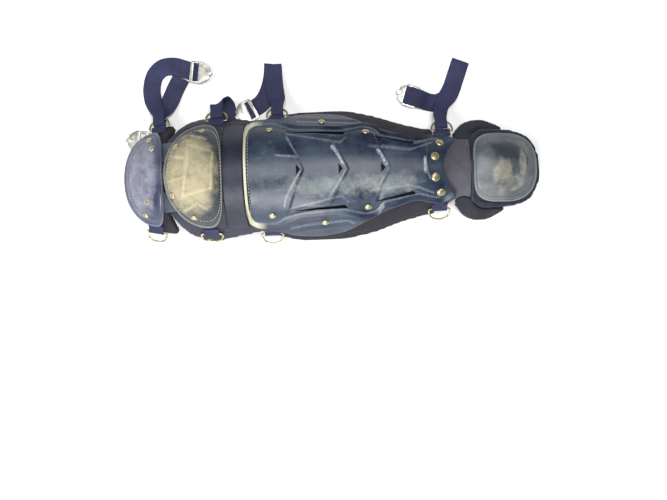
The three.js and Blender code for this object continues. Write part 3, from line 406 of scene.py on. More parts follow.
# Woven polyester webbing: ribs of 1.3 mm across it and yarns of 1.6 mm along it, in UV metres, matt
def wovenWebbing(name, look):
    material, tree, skin = newMaterial(name, {
        "Roughness": 0.75, "Sheen Weight": 0.08, "Sheen Roughness": 0.45})
    skin.inputs["Sheen Tint"].default_value = linear(look["lit"])
    uv = addNode(tree, "ShaderNodeUVMap").outputs["UV"]
    parts = addNode(tree, "ShaderNodeSeparateXYZ", inputs={0: uv})
    waves = []
    for axis, pitch in (("X", look["rib"]), ("Y", look["yarn"])):
        turns = addNode(tree, "ShaderNodeMath", {"operation": "MULTIPLY"}, {
            0: parts.outputs[axis], 1: 2 * math.pi / (pitch * mm)})
        waves.append(addNode(tree, "ShaderNodeMath", {"operation": "SINE"}, {0: turns.outputs[0]}).outputs[0])
    weave = addNode(tree, "ShaderNodeMath", {"operation": "MULTIPLY"}, {0: waves[0], 1: waves[1]})
    place = addNode(tree, "ShaderNodeTexCoord").outputs["Object"]
    drift = addNode(tree, "ShaderNodeTexNoise", inputs={"Vector": place, "Scale": 60, "Detail": 6})
    height = addNode(tree, "ShaderNodeMapRange", inputs={
        "Value": weave.outputs[0], "From Min": -1, "From Max": 1})
    faded = addNode(tree, "ShaderNodeMapRange", inputs={
        "Value": drift.outputs["Fac"], "From Min": 0.35, "From Max": 0.7, "To Max": 0.6})
    share = addNode(tree, "ShaderNodeMath", {"operation": "MULTIPLY_ADD", "use_clamp": True}, {
        0: height.outputs[0], 1: 0.4, 2: faded.outputs[0]})
    tone = addNode(tree, "ShaderNodeMix", {"data_type": "RGBA"}, {
        0: share.outputs[0], 6: linear(look["colour"]), 7: linear(look["lit"])})
    tree.links.new(tone.outputs[2], skin.inputs["Base Color"])
    bump = addNode(tree, "ShaderNodeBump", inputs={
        "Height": height.outputs[0], "Strength": 0.5, "Distance": 0.00025})
    tree.links.new(bump.outputs[0], skin.inputs["Normal"])
    return material


webbingCloth = wovenWebbing("straps, woven polyester webbing", {
    "colour": "#171a38", "lit": "#2b2f56", "rib": 1.3, "yarn": 1.6})


# Plated brass or nickel, pressed and bent: bright where it is clean, dull in patches, soft reflections
def dullMetal(name, look):
    material, tree, skin = newMaterial(name, {"Metallic": 1.0})
    place = addNode(tree, "ShaderNodeTexCoord").outputs["Object"]
    patches = addNode(tree, "ShaderNodeTexNoise", inputs={"Vector": place, "Scale": 260, "Detail": 6})
    share = addNode(tree, "ShaderNodeMapRange", inputs={
        "Value": patches.outputs["Fac"], "From Min": 0.42, "From Max": 0.68})
    tone = addNode(tree, "ShaderNodeMix", {"data_type": "RGBA"}, {
        0: share.outputs[0], 6: linear(look["colour"]), 7: linear(look["dull"])})
    tree.links.new(tone.outputs[2], skin.inputs["Base Color"])
    rough = addNode(tree, "ShaderNodeMapRange", inputs={
        "Value": patches.outputs["Fac"], "From Min": 0.35, "From Max": 0.7,
        "To Min": look["roughness"], "To Max": look["roughness"] + 0.2})
    tree.links.new(rough.outputs[0], skin.inputs["Roughness"])
    bump = addNode(tree, "ShaderNodeBump", inputs={
        "Height": patches.outputs["Fac"], "Strength": 0.06, "Distance": 0.0002})
    tree.links.new(bump.outputs[0], skin.inputs["Normal"])
    return material


brass = dullMetal("rings and rivets, plated brass", {
    "colour": "#c2b995", "dull": "#8c8468", "roughness": 0.34})
nickel = dullMetal("buckles, nickel plate", {
    "colour": "#b9b8b0", "dull": "#8d8d86", "roughness": 0.33})
hingePlastic = paddingCloth("hinge links, flexible polypropylene", {
    "colour": "#363a48", "lit": "#454a5a", "shade": "#252833", "roughness": 0.45, "sheen": 0,
    "feature": "F1", "cell": 0.6, "random": 1.0, "open": 0.3, "depth": 0.3, "relief": 0.15})
# Spun polyester thread: matt, with a fuzz that lightens its edges
threadLooks = {
    "pale": ("stitches, spun polyester thread", "#b9b596"),
    "dark": ("dark stitches, spun polyester thread", "#15151f"),
    "seam": ("seams of the padding, spun polyester thread", "#45475c"),
}
threads = {}
for key, (name, colour) in threadLooks.items():
    threads[key], _, _ = newMaterial(name, {
        "Base Color": linear(colour), "Roughness": 0.75, "Sheen Weight": 0.3})
print("materials")


shell = {"wall": 3.0, "gap": 0.6, "lean": 2.5, "edge": 1.2}
# Lengths in mm. A patch, dust on the knee cup and toe plate and a painted soft highlight on the thigh cup, is
# its middle (x, y), its reach along and across, and its strength
cups = {
    "thigh_cup": {
        "middle": -236, "back": 45, "front": 18, "half": 62, "squareBack": 2.1, "squareFront": 2.1,
        "lift": 3.0, "bulge": 5, "rimAt": 0.97, "wornAndLit": 0.2, "ridge": 0.5, "ridgeWidth": 2.4,
        "slot": "thigh_shell", "look": "thigh",
        "lines": [[(-262, 22), (-243, 14)], [(-268, 8), (-264, 13)], [(-267, -22), (-259, -23)],
                  [(-262, 22), (-270, 0), (-266, -22)], [(-243, 14), (-240, -20), (-252, -34)]],
        # This patch is a painted soft highlight, not dust
        "dustAndHighlight": [(-255, 3, 24, 54, 0.6)]},
    "knee_cup": {
        "middle": -170, "back": 49.5, "front": 27, "half": 66, "squareBack": 2.05, "squareFront": 2.5,
        "lift": 3.0, "bulge": 9, "rimAt": 0.97, "wornAndLit": 0.55, "ridge": 1.1, "ridgeWidth": 2.2,
        "slot": "knee_shell", "look": "knee",
        "lines": [[(-188, 42), (-186, 19), (-190, -5), (-195, -29)], [(-203, 21), (-186, 18)],
                  [(-214, -8), (-191, -5)], [(-186, 50), (-165, 43)],
                  [(-184, 35), (-155, 25), (-158, -19), (-193, -27)],
                  [(-197, -45), (-178, -37), (-168, -43)]],
        "dustAndHighlight": [(-185, 0, 34, 50, 0.9)]},
    "toe_plate": {
        "middle": 213, "back": 46, "front": 46, "half": 47.5, "squareBack": 3.6, "squareFront": 2.7,
        "lift": 0.9, "bulge": 8, "rimAt": 0.965, "wornAndLit": 0.35, "ridge": 0.9, "ridgeWidth": 3.4,
        "slot": "toe_shell", "look": "toe",
        "lines": [[(234, 22), (240, 8), (236, -8), (226, -14)]],
        "dustAndHighlight": [(208, -12, 15, 27, 0.42), (222, -22, 20, 11, 0.4), (236, 2, 6, 18, 0.42)]},
}


def cupPlace(cup, ring, angle, inset=0.0):
    c, s = np.cos(angle), np.sin(angle)
    back = c < 0
    power = np.where(back, 2 / cup["squareBack"], 2 / cup["squareFront"])
    reach = np.where(back, cup["back"], cup["front"]) - shell["lean"] - inset
    x = cup["middle"] + ring * np.sign(c) * reach * np.abs(c) ** power
    y = ring * np.sign(s) * (cup["half"] - 2 * shell["lean"] - inset) * np.abs(s) ** power
    return x, y


def buildCup(name, cup):
    segments = 192
    angle = np.linspace(0, 2 * math.pi, segments, endpoint=False)[None, :]
    rings = np.concatenate([np.linspace(0.03, 0.93, 34), [0.945, 0.96, 0.975, 0.988]])
    profile = [(ring, 0.0, shell["wall"]) for ring in rings]
    for turn in np.linspace(0, math.pi, 9):  # rounded rim, from the top face down to the lower one
        inward, up = 0.5 * (1 - math.sin(turn)), 0.5 * (1 + math.cos(turn))
        profile.append((1.0, -inward * shell["wall"], up * shell["wall"]))
    profile += [(ring, 0.0, 0.0) for ring in rings[::-1]]
    ring = np.array([p[0] for p in profile])[:, None]
    inset = -np.array([p[1] for p in profile])[:, None]
    height = np.array([p[2] for p in profile])[:, None]
    x, y = cupPlace(cup, ring, angle, inset)
    detail = cup["ridge"] * ridges(cup["lines"], x, y, cup["ridgeWidth"]) * (ring < 0.9)
    rolled = 0.9 * np.exp(-(((ring - 0.985) / 0.022) ** 2)) - 0.5 * np.exp(-(((ring - 0.925) / 0.02) ** 2))
    top = height > 0.4 * shell["wall"]
    points = onForm(x, y, cup["lift"] + cup["bulge"] * (1 - ring * ring) + height + (detail + rolled) * top)
    count = points.shape[0]
    index = np.arange(count * segments).reshape(count, segments)
    nextIndex = np.roll(index, -1, axis=1)
    faces = np.stack([index[:-1], index[1:], nextIndex[1:], nextIndex[:-1]], -1).reshape(-1, 4).tolist()
    ends = [points[0].mean(0), points[-1].mean(0)]
    total = count * segments
    faces += [[total, int(index[0, k]), int(nextIndex[0, k])] for k in range(segments)]
    faces += [[total + 1, int(nextIndex[-1, k]), int(index[-1, k])] for k in range(segments)]
    points = np.concatenate([points.reshape(-1, 3), ends])
    piece = addPiece(name + "_shell", points, faces, plastics[cup["look"]])
    ringAll = np.concatenate([np.repeat(ring[:, 0], segments), [0, 0]])
    dustAndHighlight = np.zeros(len(points))
    for cx, cy, rx, ry, strength in cup["dustAndHighlight"]:
        reach = ((points[:, 0] - cx) / rx) ** 2 + ((points[:, 1] - cy) / ry) ** 2
        dustAndHighlight = np.maximum(dustAndHighlight, strength * np.clip(1.45 - reach, 0, 1))
    setAttribute(piece.data, "dustAndHighlight", dustAndHighlight)
    setAttribute(piece.data, "wearAndHighlight", cup["wornAndLit"] * ridges(cup["lines"], points[:, 0], points[:, 1], 1.5)
                 + 0.3 * np.clip((ringAll - 0.97) / 0.03, 0, 1))
    setAttribute(piece.data, "rim", 0.6 * np.exp(-(((ringAll - cup["rimAt"]) / 0.014) ** 2)))
    return finishPiece(piece, cup["slot"], name)


cupPieces = {name: buildCup(name, cup) for name, cup in cups.items()}
print("cups and toe plate")

shin = {"start": -119.4, "length": 247.4, "half": 81, "ridge": 6, "wing": 3.6, "step": 2.6, "fin": 2.4,
        "rim": 1.0, "sweep": 29, "upperWing": 0.965, "finerRows": 8, "finerColumns": 7,
        "ventHeight": 13, "ventDepth": 5.4, "vents": (0.271, 0.482, 0.696),
        "slotWidth": 4, "slots": ((0.25, 0.605, 0.515, 0.565), (0.66, 0.5, 0.865, 0.385)),
        "cutterTop": 130, "rimWidth": 3.0, "rimFades": (10, 24)}
shinOutline = {
    "at": [0, 0.01, 0.028, 0.06, 0.135, 0.2, 0.27, 0.35, 0.48, 0.545, 0.61, 0.66, 0.695, 0.78, 0.87, 0.93,
           1, 1.06, 1.1],
    "edge": [0.56, 0.7, 0.775, 0.815, 0.83, 0.875, 0.915, 0.925, 0.885, 0.81, 0.715, 0.655, 0.595, 0.51, 0.44,
             0.47, 0.495, 0.43, 0.4],
    "ridge": [0.51, 0.65, 0.725, 0.765, 0.775, 0.7, 0.645, 0.63, 0.605, 0.635, 0.67, 0.625, 0.515, 0.46, 0.4,
              0.43, 0.46, 0.39, 0.36],
}
# Rows across the plate, swept back at the sides: V steps, side fins and the rim at the knee end
shinRows = {
    "at": [0, 0.012, 0.024, 0.054, 0.09, 0.143, 0.208, 0.256, 0.286, 0.298, 0.362, 0.425, 0.475, 0.509, 0.521,
           0.588, 0.652, 0.723, 0.735, 0.766, 0.79, 0.854, 0.911, 0.921, 0.955, 0.98, 1],
    "sweep": [0, 0, 0, 0.08, 0.24, 0.5, 0.7, 0.83, 0.86, 0.86, 0.93, 0.97, 1, 1, 1,
              0.97, 0.9, 0.86, 0.86, 0.76, 0.66, 0.28, -0.07, -0.07, -0.28, -0.45, -0.62],
    "step": [0, 0, 0, 0, 0, 0.1, 0.35, 0.7, 1, 0, 0.15, 0.5, 0.85, 1, 0,
             0.25, 0.65, 1, 0, 0.05, 0.1, 0.3, 0.7, 0, 0, 0, 0],
    "fin": [0, 0, 0, 0, 0, 0, 0, 0.1, 0.2, 0.3, 0.5, 0.75, 0.95, 1, 0.9,
            0, 0, 0.5, 0.6, 0.9, 1, 0.6, 0.1, 0, 0, 0, 0],
    "rim": [1, 1] + [0] * 25,
}
# Columns from the middle line to the ridge (0 to 1) and on over the wing (1 to 2)
shinColumns = {
    "at": [0, 0.2, 0.4, 0.6, 0.76, 0.86, 1, 1.16, 1.58, 2],
    "step": [1, 1, 0.9, 0.7, 0.4, 0.1, 0, 0, 0, 0],
    "fin": [0, 0, 0, 0.3, 1, 0.1, 0, 0, 0, 0],
    "ridge": [0, 0.03, 0.12, 0.28, 0.42, 0.5, 1, 0, 0, 0],
    "wing": [0, 0, 0, 0, 0, 0, 0, 0.8, 1, 1],
}
shinLines = {
    "chevrons": [[(-66, 42), (-54, 19), (-48, 1), (-57, -13), (-69, -33), (-72, -44)],
                 [(-8, 31), (2, 11), (8, 0), (0, -12), (-15, -33)], [(49, 22), (61, 0), (48, -20)],
                 [(107, 13), (108, 1), (109, -7), (112, -14)]],
    "ribs": [[(-66, 47), (0, 33), (8, 41)], [(36, 28), (87, 22), (117, 32)], [(-66, -47), (0, -33), (8, -41)],
             [(36, -28), (87, -22), (117, -32)]],
    "wings": [[(-54, 66), (22, 60), (30, 64)], [(-66, -70), (-43, -66), (8, -63), (16, -67)]],
    "middle": [[(-80, 19), (-55, 16)], [(-80, -20), (-59, -18)]],
    "facets": [[(-10, 28), (-3, 18), (3, 7)], [(47, 22), (53, 13), (57, 5)],
               [(106, 11), (106, 3), (107, -6)]],
}


def refined(table, column, finer):
    at = np.arange(len(table["at"]))
    return np.interp(np.linspace(0, at[-1], at[-1] * finer + 1), at, table[column])


def buildShinPlate():
    finer, finerColumns = shin["finerRows"], shin["finerColumns"]
    share = refined(shinColumns, "at", finerColumns)
    columns = {key: refined(shinColumns, key, finerColumns) for key in ("step", "fin", "ridge", "wing")}
    arm = np.minimum(share, 1)
    placeRows, riseRows = [], []
    for k, at in enumerate(shinRows["at"]):
        sweep = shinRows["sweep"][k]
        bent = arm**1.5 if sweep < -0.2 else arm
        placeRows.append(at - shin["sweep"] * sweep * bent / shin["length"])
        riseRows.append(shin["step"] * shinRows["step"][k] * columns["step"]
                        + shin["fin"] * shinRows["fin"][k] * columns["fin"]
                        + shin["ridge"] * columns["ridge"] + shin["wing"] * columns["wing"]
                        + shin["rim"] * shinRows["rim"][k])
    u = np.linspace(0, len(placeRows) - 1, (len(placeRows) - 1) * finer + 1)
    low = np.minimum(u.astype(int), len(placeRows) - 2)
    part = (u - low)[:, None]
    placeRows, riseRows = np.array(placeRows), np.array(riseRows)
    at = placeRows[low] * (1 - part) + placeRows[low + 1] * part
    rise = riseRows[low] * (1 - part) + riseRows[low + 1] * part
    ridge = shin["half"] * tableAt(shinOutline, "ridge", at)
    edge = shin["half"] * tableAt(shinOutline, "edge", at)
    lowerY, upperY = (np.where(share < 1, ridge * share, ridge + (edge * wing - ridge) * (share - 1))
                      for wing in (1, shin["upperWing"]))
    x = shin["start"] + shin["length"] * at
    x, rise = np.concatenate([x[:, :0:-1], x], 1), np.concatenate([rise[:, :0:-1], rise], 1)
    y = np.concatenate([-lowerY[:, :0:-1], upperY], 1)
    detail = (0.7 * ridges(shinLines["ribs"], x, y, 1.6) + 0.7 * ridges(shinLines["wings"], x, y, 1.5)
              + 0.5 * ridges(shinLines["middle"], x, y, 1.2))
    base = shell["gap"] + rise
    points, faces = gridSolid(onForm(x, y, base + detail + shell["wall"]), onForm(x, y, base))
    piece = addPiece("shin_plate_shell", points, faces, plastics["shin"])
    soften = piece.modifiers.new("soften creases", "SMOOTH")
    soften.factor, soften.iterations = 0.5, 1
    applied(piece)
    cutters = []
    for place in shin["vents"]:
        middle = shin["start"] + shin["length"] * place
        half, depth = shin["ventHeight"] / 2, shin["ventDepth"] / 2
        cutters.append([(middle - depth, -half), (middle + depth, 0), (middle - depth, half)])
    for start, startY, stop, stopY in shin["slots"]:
        x0, x1 = shin["start"] + shin["length"] * start, shin["start"] + shin["length"] * stop
        y0, y1, width = shin["half"] * startY, shin["half"] * stopY, shin["slotWidth"]
        wedge = [(x0, y0 - width * 0.12), (x1 - width, y1 - width / 2), (x1, y1 + width / 2),
                 (x0, y0 + width * 0.12)]
        cutters += [wedge, [(px, -py) for px, py in wedge[::-1]]]
    points, faces = [], []
    for outline in cutters:
        first, count = len(points), len(outline)
        points += [(px, py, pz) for pz in (0, shin["cutterTop"]) for px, py in outline]
        faces.append([first + k for k in range(count)][::-1])
        faces.append([first + count + k for k in range(count)])
        faces += [[first + k, first + (k + 1) % count, first + count + (k + 1) % count, first + count + k]
                  for k in range(count)]
    cutter = addPiece("cutter", points, faces, plastics["shin"], smooth=False)
    cut = piece.modifiers.new("vents and slots", "BOOLEAN")
    cut.operation, cut.object, cut.solver = "DIFFERENCE", cutter, "EXACT"
    applied(piece)
    bpy.data.objects.remove(cutter)
    rounded = piece.modifiers.new("rounded edges", "BEVEL")
    rounded.width, rounded.segments, rounded.limit_method, rounded.angle_limit = 0.6 * mm, 2, "ANGLE", 1.0
    applied(piece)
    local = localPoints(piece.data)
    x, y = local[:, 0], local[:, 1]
    # Painted highlights along the crisp edges, where light catches the bevel facets of the V steps, the ridge
    # lines, chevrons, ribs and wing lines, held in the wear mask with some pale edge wear
    lineAt = np.linspace(0.03, 0.99, 90)
    ridgeX = shin["start"] + shin["length"] * lineAt
    ridgeY = shin["half"] * tableAt(shinOutline, "ridge", lineAt)
    ridgeLines = [list(zip(ridgeX, ridgeY + 0.7)), list(zip(ridgeX, -ridgeY - 0.7))]
    wearAndHighlight = (0.9 * band(shinLines["facets"], x, y, 1.9) + 0.5 * ridges(shinLines["chevrons"], x, y, 1.1)
            + 0.35 * ridges(shinLines["ribs"], x, y, 1.1) + 0.42 * ridges(ridgeLines, x, y, 0.8)
            + 0.4 * ridges(shinLines["wings"] + shinLines["middle"], x, y, 0.9))
    setAttribute(piece.data, "wearAndHighlight", np.clip(wearAndHighlight, 0, 1))
    rimAt = np.linspace(0, 0.1, 24)  # the worn rim runs along the knee end and fades out past its corners
    rimX = shin["start"] + shin["length"] * rimAt
    rimY = shin["half"] * tableAt(shinOutline, "edge", rimAt)
    rimLine = list(zip(rimX, -rimY))[::-1] + list(zip(rimX, shin["upperWing"] * rimY))
    fadeFrom, fadeTo = shin["rimFades"]
    fading = np.clip((shin["start"] + fadeTo - x) / (fadeTo - fadeFrom), 0, 1)
    setAttribute(piece.data, "rim", 0.85 * band([rimLine], x, y, shin["rimWidth"]) * fading)
    # Dust near the knee end, and a painted highlight: a pale band along the lower half of the plate, where
    # the low key light glints
    dustAndHighlight = 0.2 * np.clip(1.2 - ((x + 88) / 40) ** 2 - ((y + 4) / 60) ** 2, 0, 1)
    along = np.clip((115 - x) / 30, 0, 1) * np.clip((x + 100) / 60, 0.2, 1)
    dustAndHighlight = np.maximum(dustAndHighlight, 0.6 * np.exp(-(((y + 20) / 15) ** 2)) * along)
    setAttribute(piece.data, "dustAndHighlight", dustAndHighlight)
    smoothFaces(piece.data)
    piece.data.set_sharp_from_angle(angle=math.radians(38))
    return finishPiece(piece, "shin_shell", "shin_plate")


shinPlate = buildShinPlate()
print("shin plate")


padOutlines = {
    "thigh_pad": {"at": [0, 0.04, 0.12, 0.26, 0.42, 0.58, 0.74, 0.9, 1],
                  "half": [0.13, 0.32, 0.49, 0.66, 0.79, 0.88, 0.945, 0.985, 1]},
    "knee_pad": {"at": [0, 0.05, 0.11, 0.19, 0.28, 0.4, 0.52, 0.65, 0.78, 0.92, 1],
                 "half": [0.5, 0.63, 0.75, 0.86, 0.93, 0.985, 1, 0.965, 0.935, 0.9, 0.88]},
    "shin_pad": {"at": [0, 0.05, 0.1, 0.19, 0.3, 0.41, 0.51, 0.65, 0.73, 0.81, 0.9, 1],
                 "half": [0.83, 0.86, 0.9, 0.962, 0.99, 1, 0.98, 0.91, 0.84, 0.765, 0.695, 0.63]},
    "ankle_panel": {"at": [0, 0.36, 0.56, 0.8, 1], "half": [1, 0.88, 0.79, 0.74, 0.765]},
    "toe_pad": {"at": [0, 0.08, 0.2, 0.35, 0.55, 0.75, 0.88, 0.95, 1],
                "half": [0.76, 0.91, 0.995, 1, 0.98, 0.9, 0.74, 0.54, 0.22]},
    "flaps": {"at": [0, 0.09, 0.2, 0.34, 0.5, 0.66, 0.8, 0.92, 1],
              "outer": [0.69, 0.8, 0.91, 0.975, 1, 0.985, 0.93, 0.865, 0.815]},
}
pads = {
    "thigh_pad": {"start": -286, "length": 62, "half": 71, "wall": 9, "floor": 4, "ears": 8,
                  "cloth": "liner", "slot": "liner_cloth", "voxel": 2.8, "cap": 3.0},
    "knee_pad": {"start": -223.4, "length": 119.6, "half": 82, "wall": 11, "floor": 4,
                 "cloth": "vinyl", "slot": "knee_vinyl", "voxel": 3.2, "cap": 3.0},
    "shin_pad": {"start": -103.2, "length": 227, "half": 87, "wall": 10,
                 "cloth": "liner", "slot": "liner_cloth", "voxel": 3.2, "cap": 3.0},
    "ankle_panel": {"start": 124.4, "length": 43.6, "half": 51, "wall": 5,
                    "cloth": "mesh", "slot": "ankle_mesh", "voxel": 2.0, "cap": 1.5},
    "toe_pad": {"start": 168.6, "length": 95.4, "half": 52.5, "wall": 9,
                "cloth": "vinyl", "slot": "knee_vinyl", "voxel": 2.8, "cap": 2.5},
    "ankle_flap_upper": {"start": 149, "length": 67, "reach": 67, "wall": 7, "side": 1, "seam": 1.3,
                         "cloth": "flap", "slot": "liner_cloth", "voxel": 2.2, "cap": 2.0},
    "ankle_flap_lower": {"start": 149, "length": 67, "reach": 67, "wall": 7, "side": -1, "seam": 1.3,
                         "cloth": "flap", "slot": "liner_cloth", "voxel": 2.2, "cap": 2.0},
}


padEdge = 2.5  # thickness in mm where a pad runs out on the floor


def padHalf(name, x):
    pad = pads[name]
    return pad["half"] * tableAt(padOutlines[name], "half", (x - pad["start"]) / pad["length"])


# Upper and lower grids of a pad that lies on the form. The ankle wings start at the edges of the ankle
# panel and the toe pad
def padGrid(name):
    pad = pads[name]
    at = np.linspace(0, 1, 60)[:, None]

    def rounded(column, table):
        values = tableAt(table, column, at[:, 0])
        return np.convolve(np.pad(values, 3, "edge"), np.ones(7) / 7, "valid")[:, None]

    if "side" in pad:
        x = pad["start"] + pad["length"] * at
        onPanel = x < pads["toe_pad"]["start"]
        inner = np.where(onPanel, padHalf("ankle_panel", x), padHalf("toe_pad", x)) + pad["seam"]
        outer = np.maximum(pad["reach"] * rounded("outer", padOutlines["flaps"]), inner + pad["seam"])
        share = np.linspace(0, 1, 20)[None, ::pad["side"]]
        x, y = np.broadcast_arrays(x, pad["side"] * (inner + (outer - inner) * share))
    else:
        across = np.linspace(-1, 1, 90)[None, :]
        t = np.clip((np.abs(across) - 0.62) / 0.33, 0, 1)
        x = pad["start"] + pad["length"] * at + pad.get("ears", 0) * t * t * (3 - 2 * t) * at
        y = across * pad["half"] * rounded("half", padOutlines[name])
    floor = pad.get("floor", 0)
    return onForm(x, y, 0, floor + padEdge), onForm(x, y, -pad["wall"], floor)


swelling = {"pressure": 4.0, "mass": 0.2, "bending": 0.3, "frames": 20, "proud": 1.6}
# Start, end and half width in mm of the padding under the band and under the links
coveredStrips = ((-148, -119, 67), (-235, -203, 45))


# Where a shell or the band lies on the padding
def underShell(x, y):
    over = np.zeros(np.shape(x), bool)
    for cup in cups.values():
        reach = np.where(x < cup["middle"], cup["back"], cup["front"]) + 1.5
        power = np.where(x < cup["middle"], cup["squareBack"], cup["squareFront"])
        over |= (np.abs(x - cup["middle"]) / reach) ** power + (np.abs(y) / cup["half"]) ** power < 1
    at = (x - shin["start"]) / shin["length"]
    over |= (at > -0.01) & (at < 1.09) & (np.abs(y) < shin["half"] * tableAt(shinOutline, "edge", at) + 1.5)
    for start, end, half in coveredStrips:
        over |= (x > start) & (x < end) & (np.abs(y) < half)
    return over


padPieces = {}
for name, pad in pads.items():
    piece = addPiece(name + "_cloth", *gridSolid(*padGrid(name)), cloths[pad["cloth"]])
    voxels = piece.modifiers.new("even mesh", "REMESH")
    voxels.mode, voxels.voxel_size = "VOXEL", pad["voxel"] * mm
    even = piece.modifiers.new("steps of the voxels taken off", "SMOOTH")
    even.factor, even.iterations = 0.5, 3
    applied(piece)
    padPieces[name] = piece
starts = {name: coordinates(piece.data) for name, piece in padPieces.items()}
for piece in padPieces.values():
    swell = piece.modifiers.new("swell", "CLOTH")
    swell.settings.use_pressure = True
    swell.settings.uniform_pressure_force = swelling["pressure"]
    swell.settings.effector_weights.gravity = 0
    swell.settings.mass = swelling["mass"]
    swell.settings.bending_stiffness = swelling["bending"]
for step in range(1, swelling["frames"] + 1):
    scene.frame_set(step)
for name, piece in padPieces.items():
    applied(piece)
    moved = coordinates(piece.data) - starts[name]
    length = np.linalg.norm(moved, axis=1, keepdims=True)
    moved *= np.minimum(1, pads[name]["cap"] * mm / np.maximum(length, 1e-9))
    local = (starts[name] + moved) / mm + layoutMiddle
    # Remeshing takes the corners off, so the pad is stretched back to its solid's box
    solid = localPoints(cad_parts[name].data)
    for axis in (0, 1):
        low, high = local[:, axis].min(), local[:, axis].max()
        share = (local[:, axis] - low) / (high - low)
        local[:, axis] = solid[:, axis].min() * (1 - share) + solid[:, axis].max() * share
    x, y = local[:, 0], local[:, 1]
    normal = formNormal(x, y)
    above = (local[:, 2] - formZ(x, y)) * normal[:, 2]
    ripple = 0.1 * np.sin(x / 3.3 + 1.7 * np.sin(y / 9))  # small waves of the cloth, in mm
    ripple += 0.16 * np.sin(x / 6.1 - y / 4.3 + 2 * np.sin(x / 17))
    free = np.clip((above + pads[name]["wall"] * 0.4) / 2, 0, 1)
    local += normal * (ripple * free)[:, None]
    above += ripple * free
    limit = np.where(underShell(x, y), -0.05, swelling["proud"])
    local -= normal * np.maximum(above - limit, 0)[:, None]
    local[:, 2] = np.maximum(local[:, 2], 0)
    setLocalPoints(piece.data, local)
    finer = piece.modifiers.new("finer", "SUBSURF")
    finer.levels = finer.render_levels = 1
    applied(piece)
    smoothFaces(piece.data)
    finishPiece(piece, pads[name]["slot"], name)
scene.frame_set(1)
print("padding")


# Round tube along a path, such as wire or a bound edge
def addTube(name, path, radius, material, closed=False):
    curve = bpy.data.curves.new(name, "CURVE")
    curve.dimensions, curve.bevel_depth, curve.bevel_resolution = "3D", radius * mm, 3
    curve.use_fill_caps = not closed
    line = curve.splines.new("POLY")
    line.points.add(len(path) - 1)
    for point, place in zip(line.points, path):
        point.co = (*((np.asarray(place) - layoutMiddle) * mm), 1)
    line.use_cyclic_u = closed
    holder = linked(name, curve)
    mesh = bpy.data.meshes.new_from_object(holder.evaluated_get(bpy.context.evaluated_depsgraph_get()))
    bpy.data.objects.remove(holder)
    mesh.materials.clear()
    mesh.materials.append(material)
    smoothFaces(mesh)
    return linked(name, mesh)


# Folded tape round the free edges of the padding
bindings = {
    "thigh_pad": [("start", 1.3), ("sides", 1.3)],
    "knee_pad": [("sides", 1.3)],
    "shin_pad": [("sides", 1.6)],
    "toe_pad": [("sides", 1.5), ("end", 1.5)],
    "ankle_flap_upper": [("outer", 1.4)],
    "ankle_flap_lower": [("outer", 1.4)],
}
for name, edges in bindings.items():
    upper, lower = padGrid(name)
    middle = (upper * 0.6 + lower * 0.4)
    lines = {"start": [middle[0, 12:-12]], "end": [middle[-1, 6:-6]],
             "sides": [middle[1:-1, 0], middle[1:-1, -1]],
             "outer": [middle[1:-1, -1 if pads[name].get("side", 1) > 0 else 0]]}
    for k, (line, radius) in enumerate((line, radius) for edge, radius in edges for line in lines[edge]):
        path = line.copy()
        path[:, 2] = np.maximum(path[:, 2], radius + 0.02)
        tape = addTube(f"{name}_binding_{k + 1}", path, radius, cloths["binding"])
        finishPiece(tape, "liner_cloth")
print("bound edges")


def bevelled(node, material, slot, width, smoothAngle=35):
    piece = copyOf(node, node + "_fine", material)
    shape = bmesh.new()
    shape.from_mesh(piece.data)
    bmesh.ops.dissolve_limit(shape, angle_limit=math.radians(1), verts=shape.verts, edges=shape.edges)
    shape.to_mesh(piece.data)
    shape.free()
    rounded = piece.modifiers.new("rounded edges", "BEVEL")
    rounded.width, rounded.segments, rounded.limit_method = width * mm, 3, "ANGLE"
    rounded.angle_limit = math.radians(50)
    applied(piece)
    smoothFaces(piece.data)
    piece.data.set_sharp_from_angle(angle=math.radians(smoothAngle))
    return finishPiece(piece, slot, node)


# The band and the two links, in mm: start and length along the leg, low and high edge across it
stripWall = 1.8
strips = {
    "knee_band": {"start": -147, "length": 26.5, "low": -65, "high": 65,
                  "material": cloths["band"], "slot": "band_vinyl"},
    "hinge_tab_upper": {"start": -233, "length": 28, "low": 19, "high": 43,
                        "material": hingePlastic, "slot": "hinge_plastic"},
    "hinge_tab_lower": {"start": -233, "length": 28, "low": -43, "high": -19,
                        "material": hingePlastic, "slot": "hinge_plastic"},
}


# Fine strip on the form in place of a flat CAD strip
def buildStrip(node, strip):
    start, length, low, high = (strip[key] for key in ("start", "length", "low", "high"))
    x = np.linspace(start, start + length, 24)[:, None]
    y = np.linspace(low, high, 90)[None, :]
    wave = 0.25 * np.sin(y / 11 + x / 5) * np.cos(x / 7)
    edge = np.minimum(np.minimum(x - start, start + length - x), np.minimum(y - low, high - y))
    soft = 0.5 * stripWall * (1 - np.sqrt(np.clip(1 - (1 - np.clip(edge, 0, 1)) ** 2, 0, 1)))
    points, faces = gridSolid(onForm(x, y, shell["gap"] + stripWall + wave * (edge > 1) - soft),
                              onForm(x, y, shell["gap"] + soft * 0.6))
    finishPiece(addPiece(node + "_fine", points, faces, strip["material"]), strip["slot"], node)


for name, strip in strips.items():
    buildStrip(name, strip)

ringSeats = {
    "thigh_upper": (-234, 65.5), "knee_upper": (-159, 71),
    "calf_upper": (-80, 74), "ankle_upper": (135.5, 47.5),
    "thigh_lower": (-243, -64), "knee_lower": (-170, -70),
    "calf_lower": (-91.4, -72.5), "ankle_lower": (128, -47.5),
}
ringWire, ringHalf, ringReach = 1.3, 13.7, 15


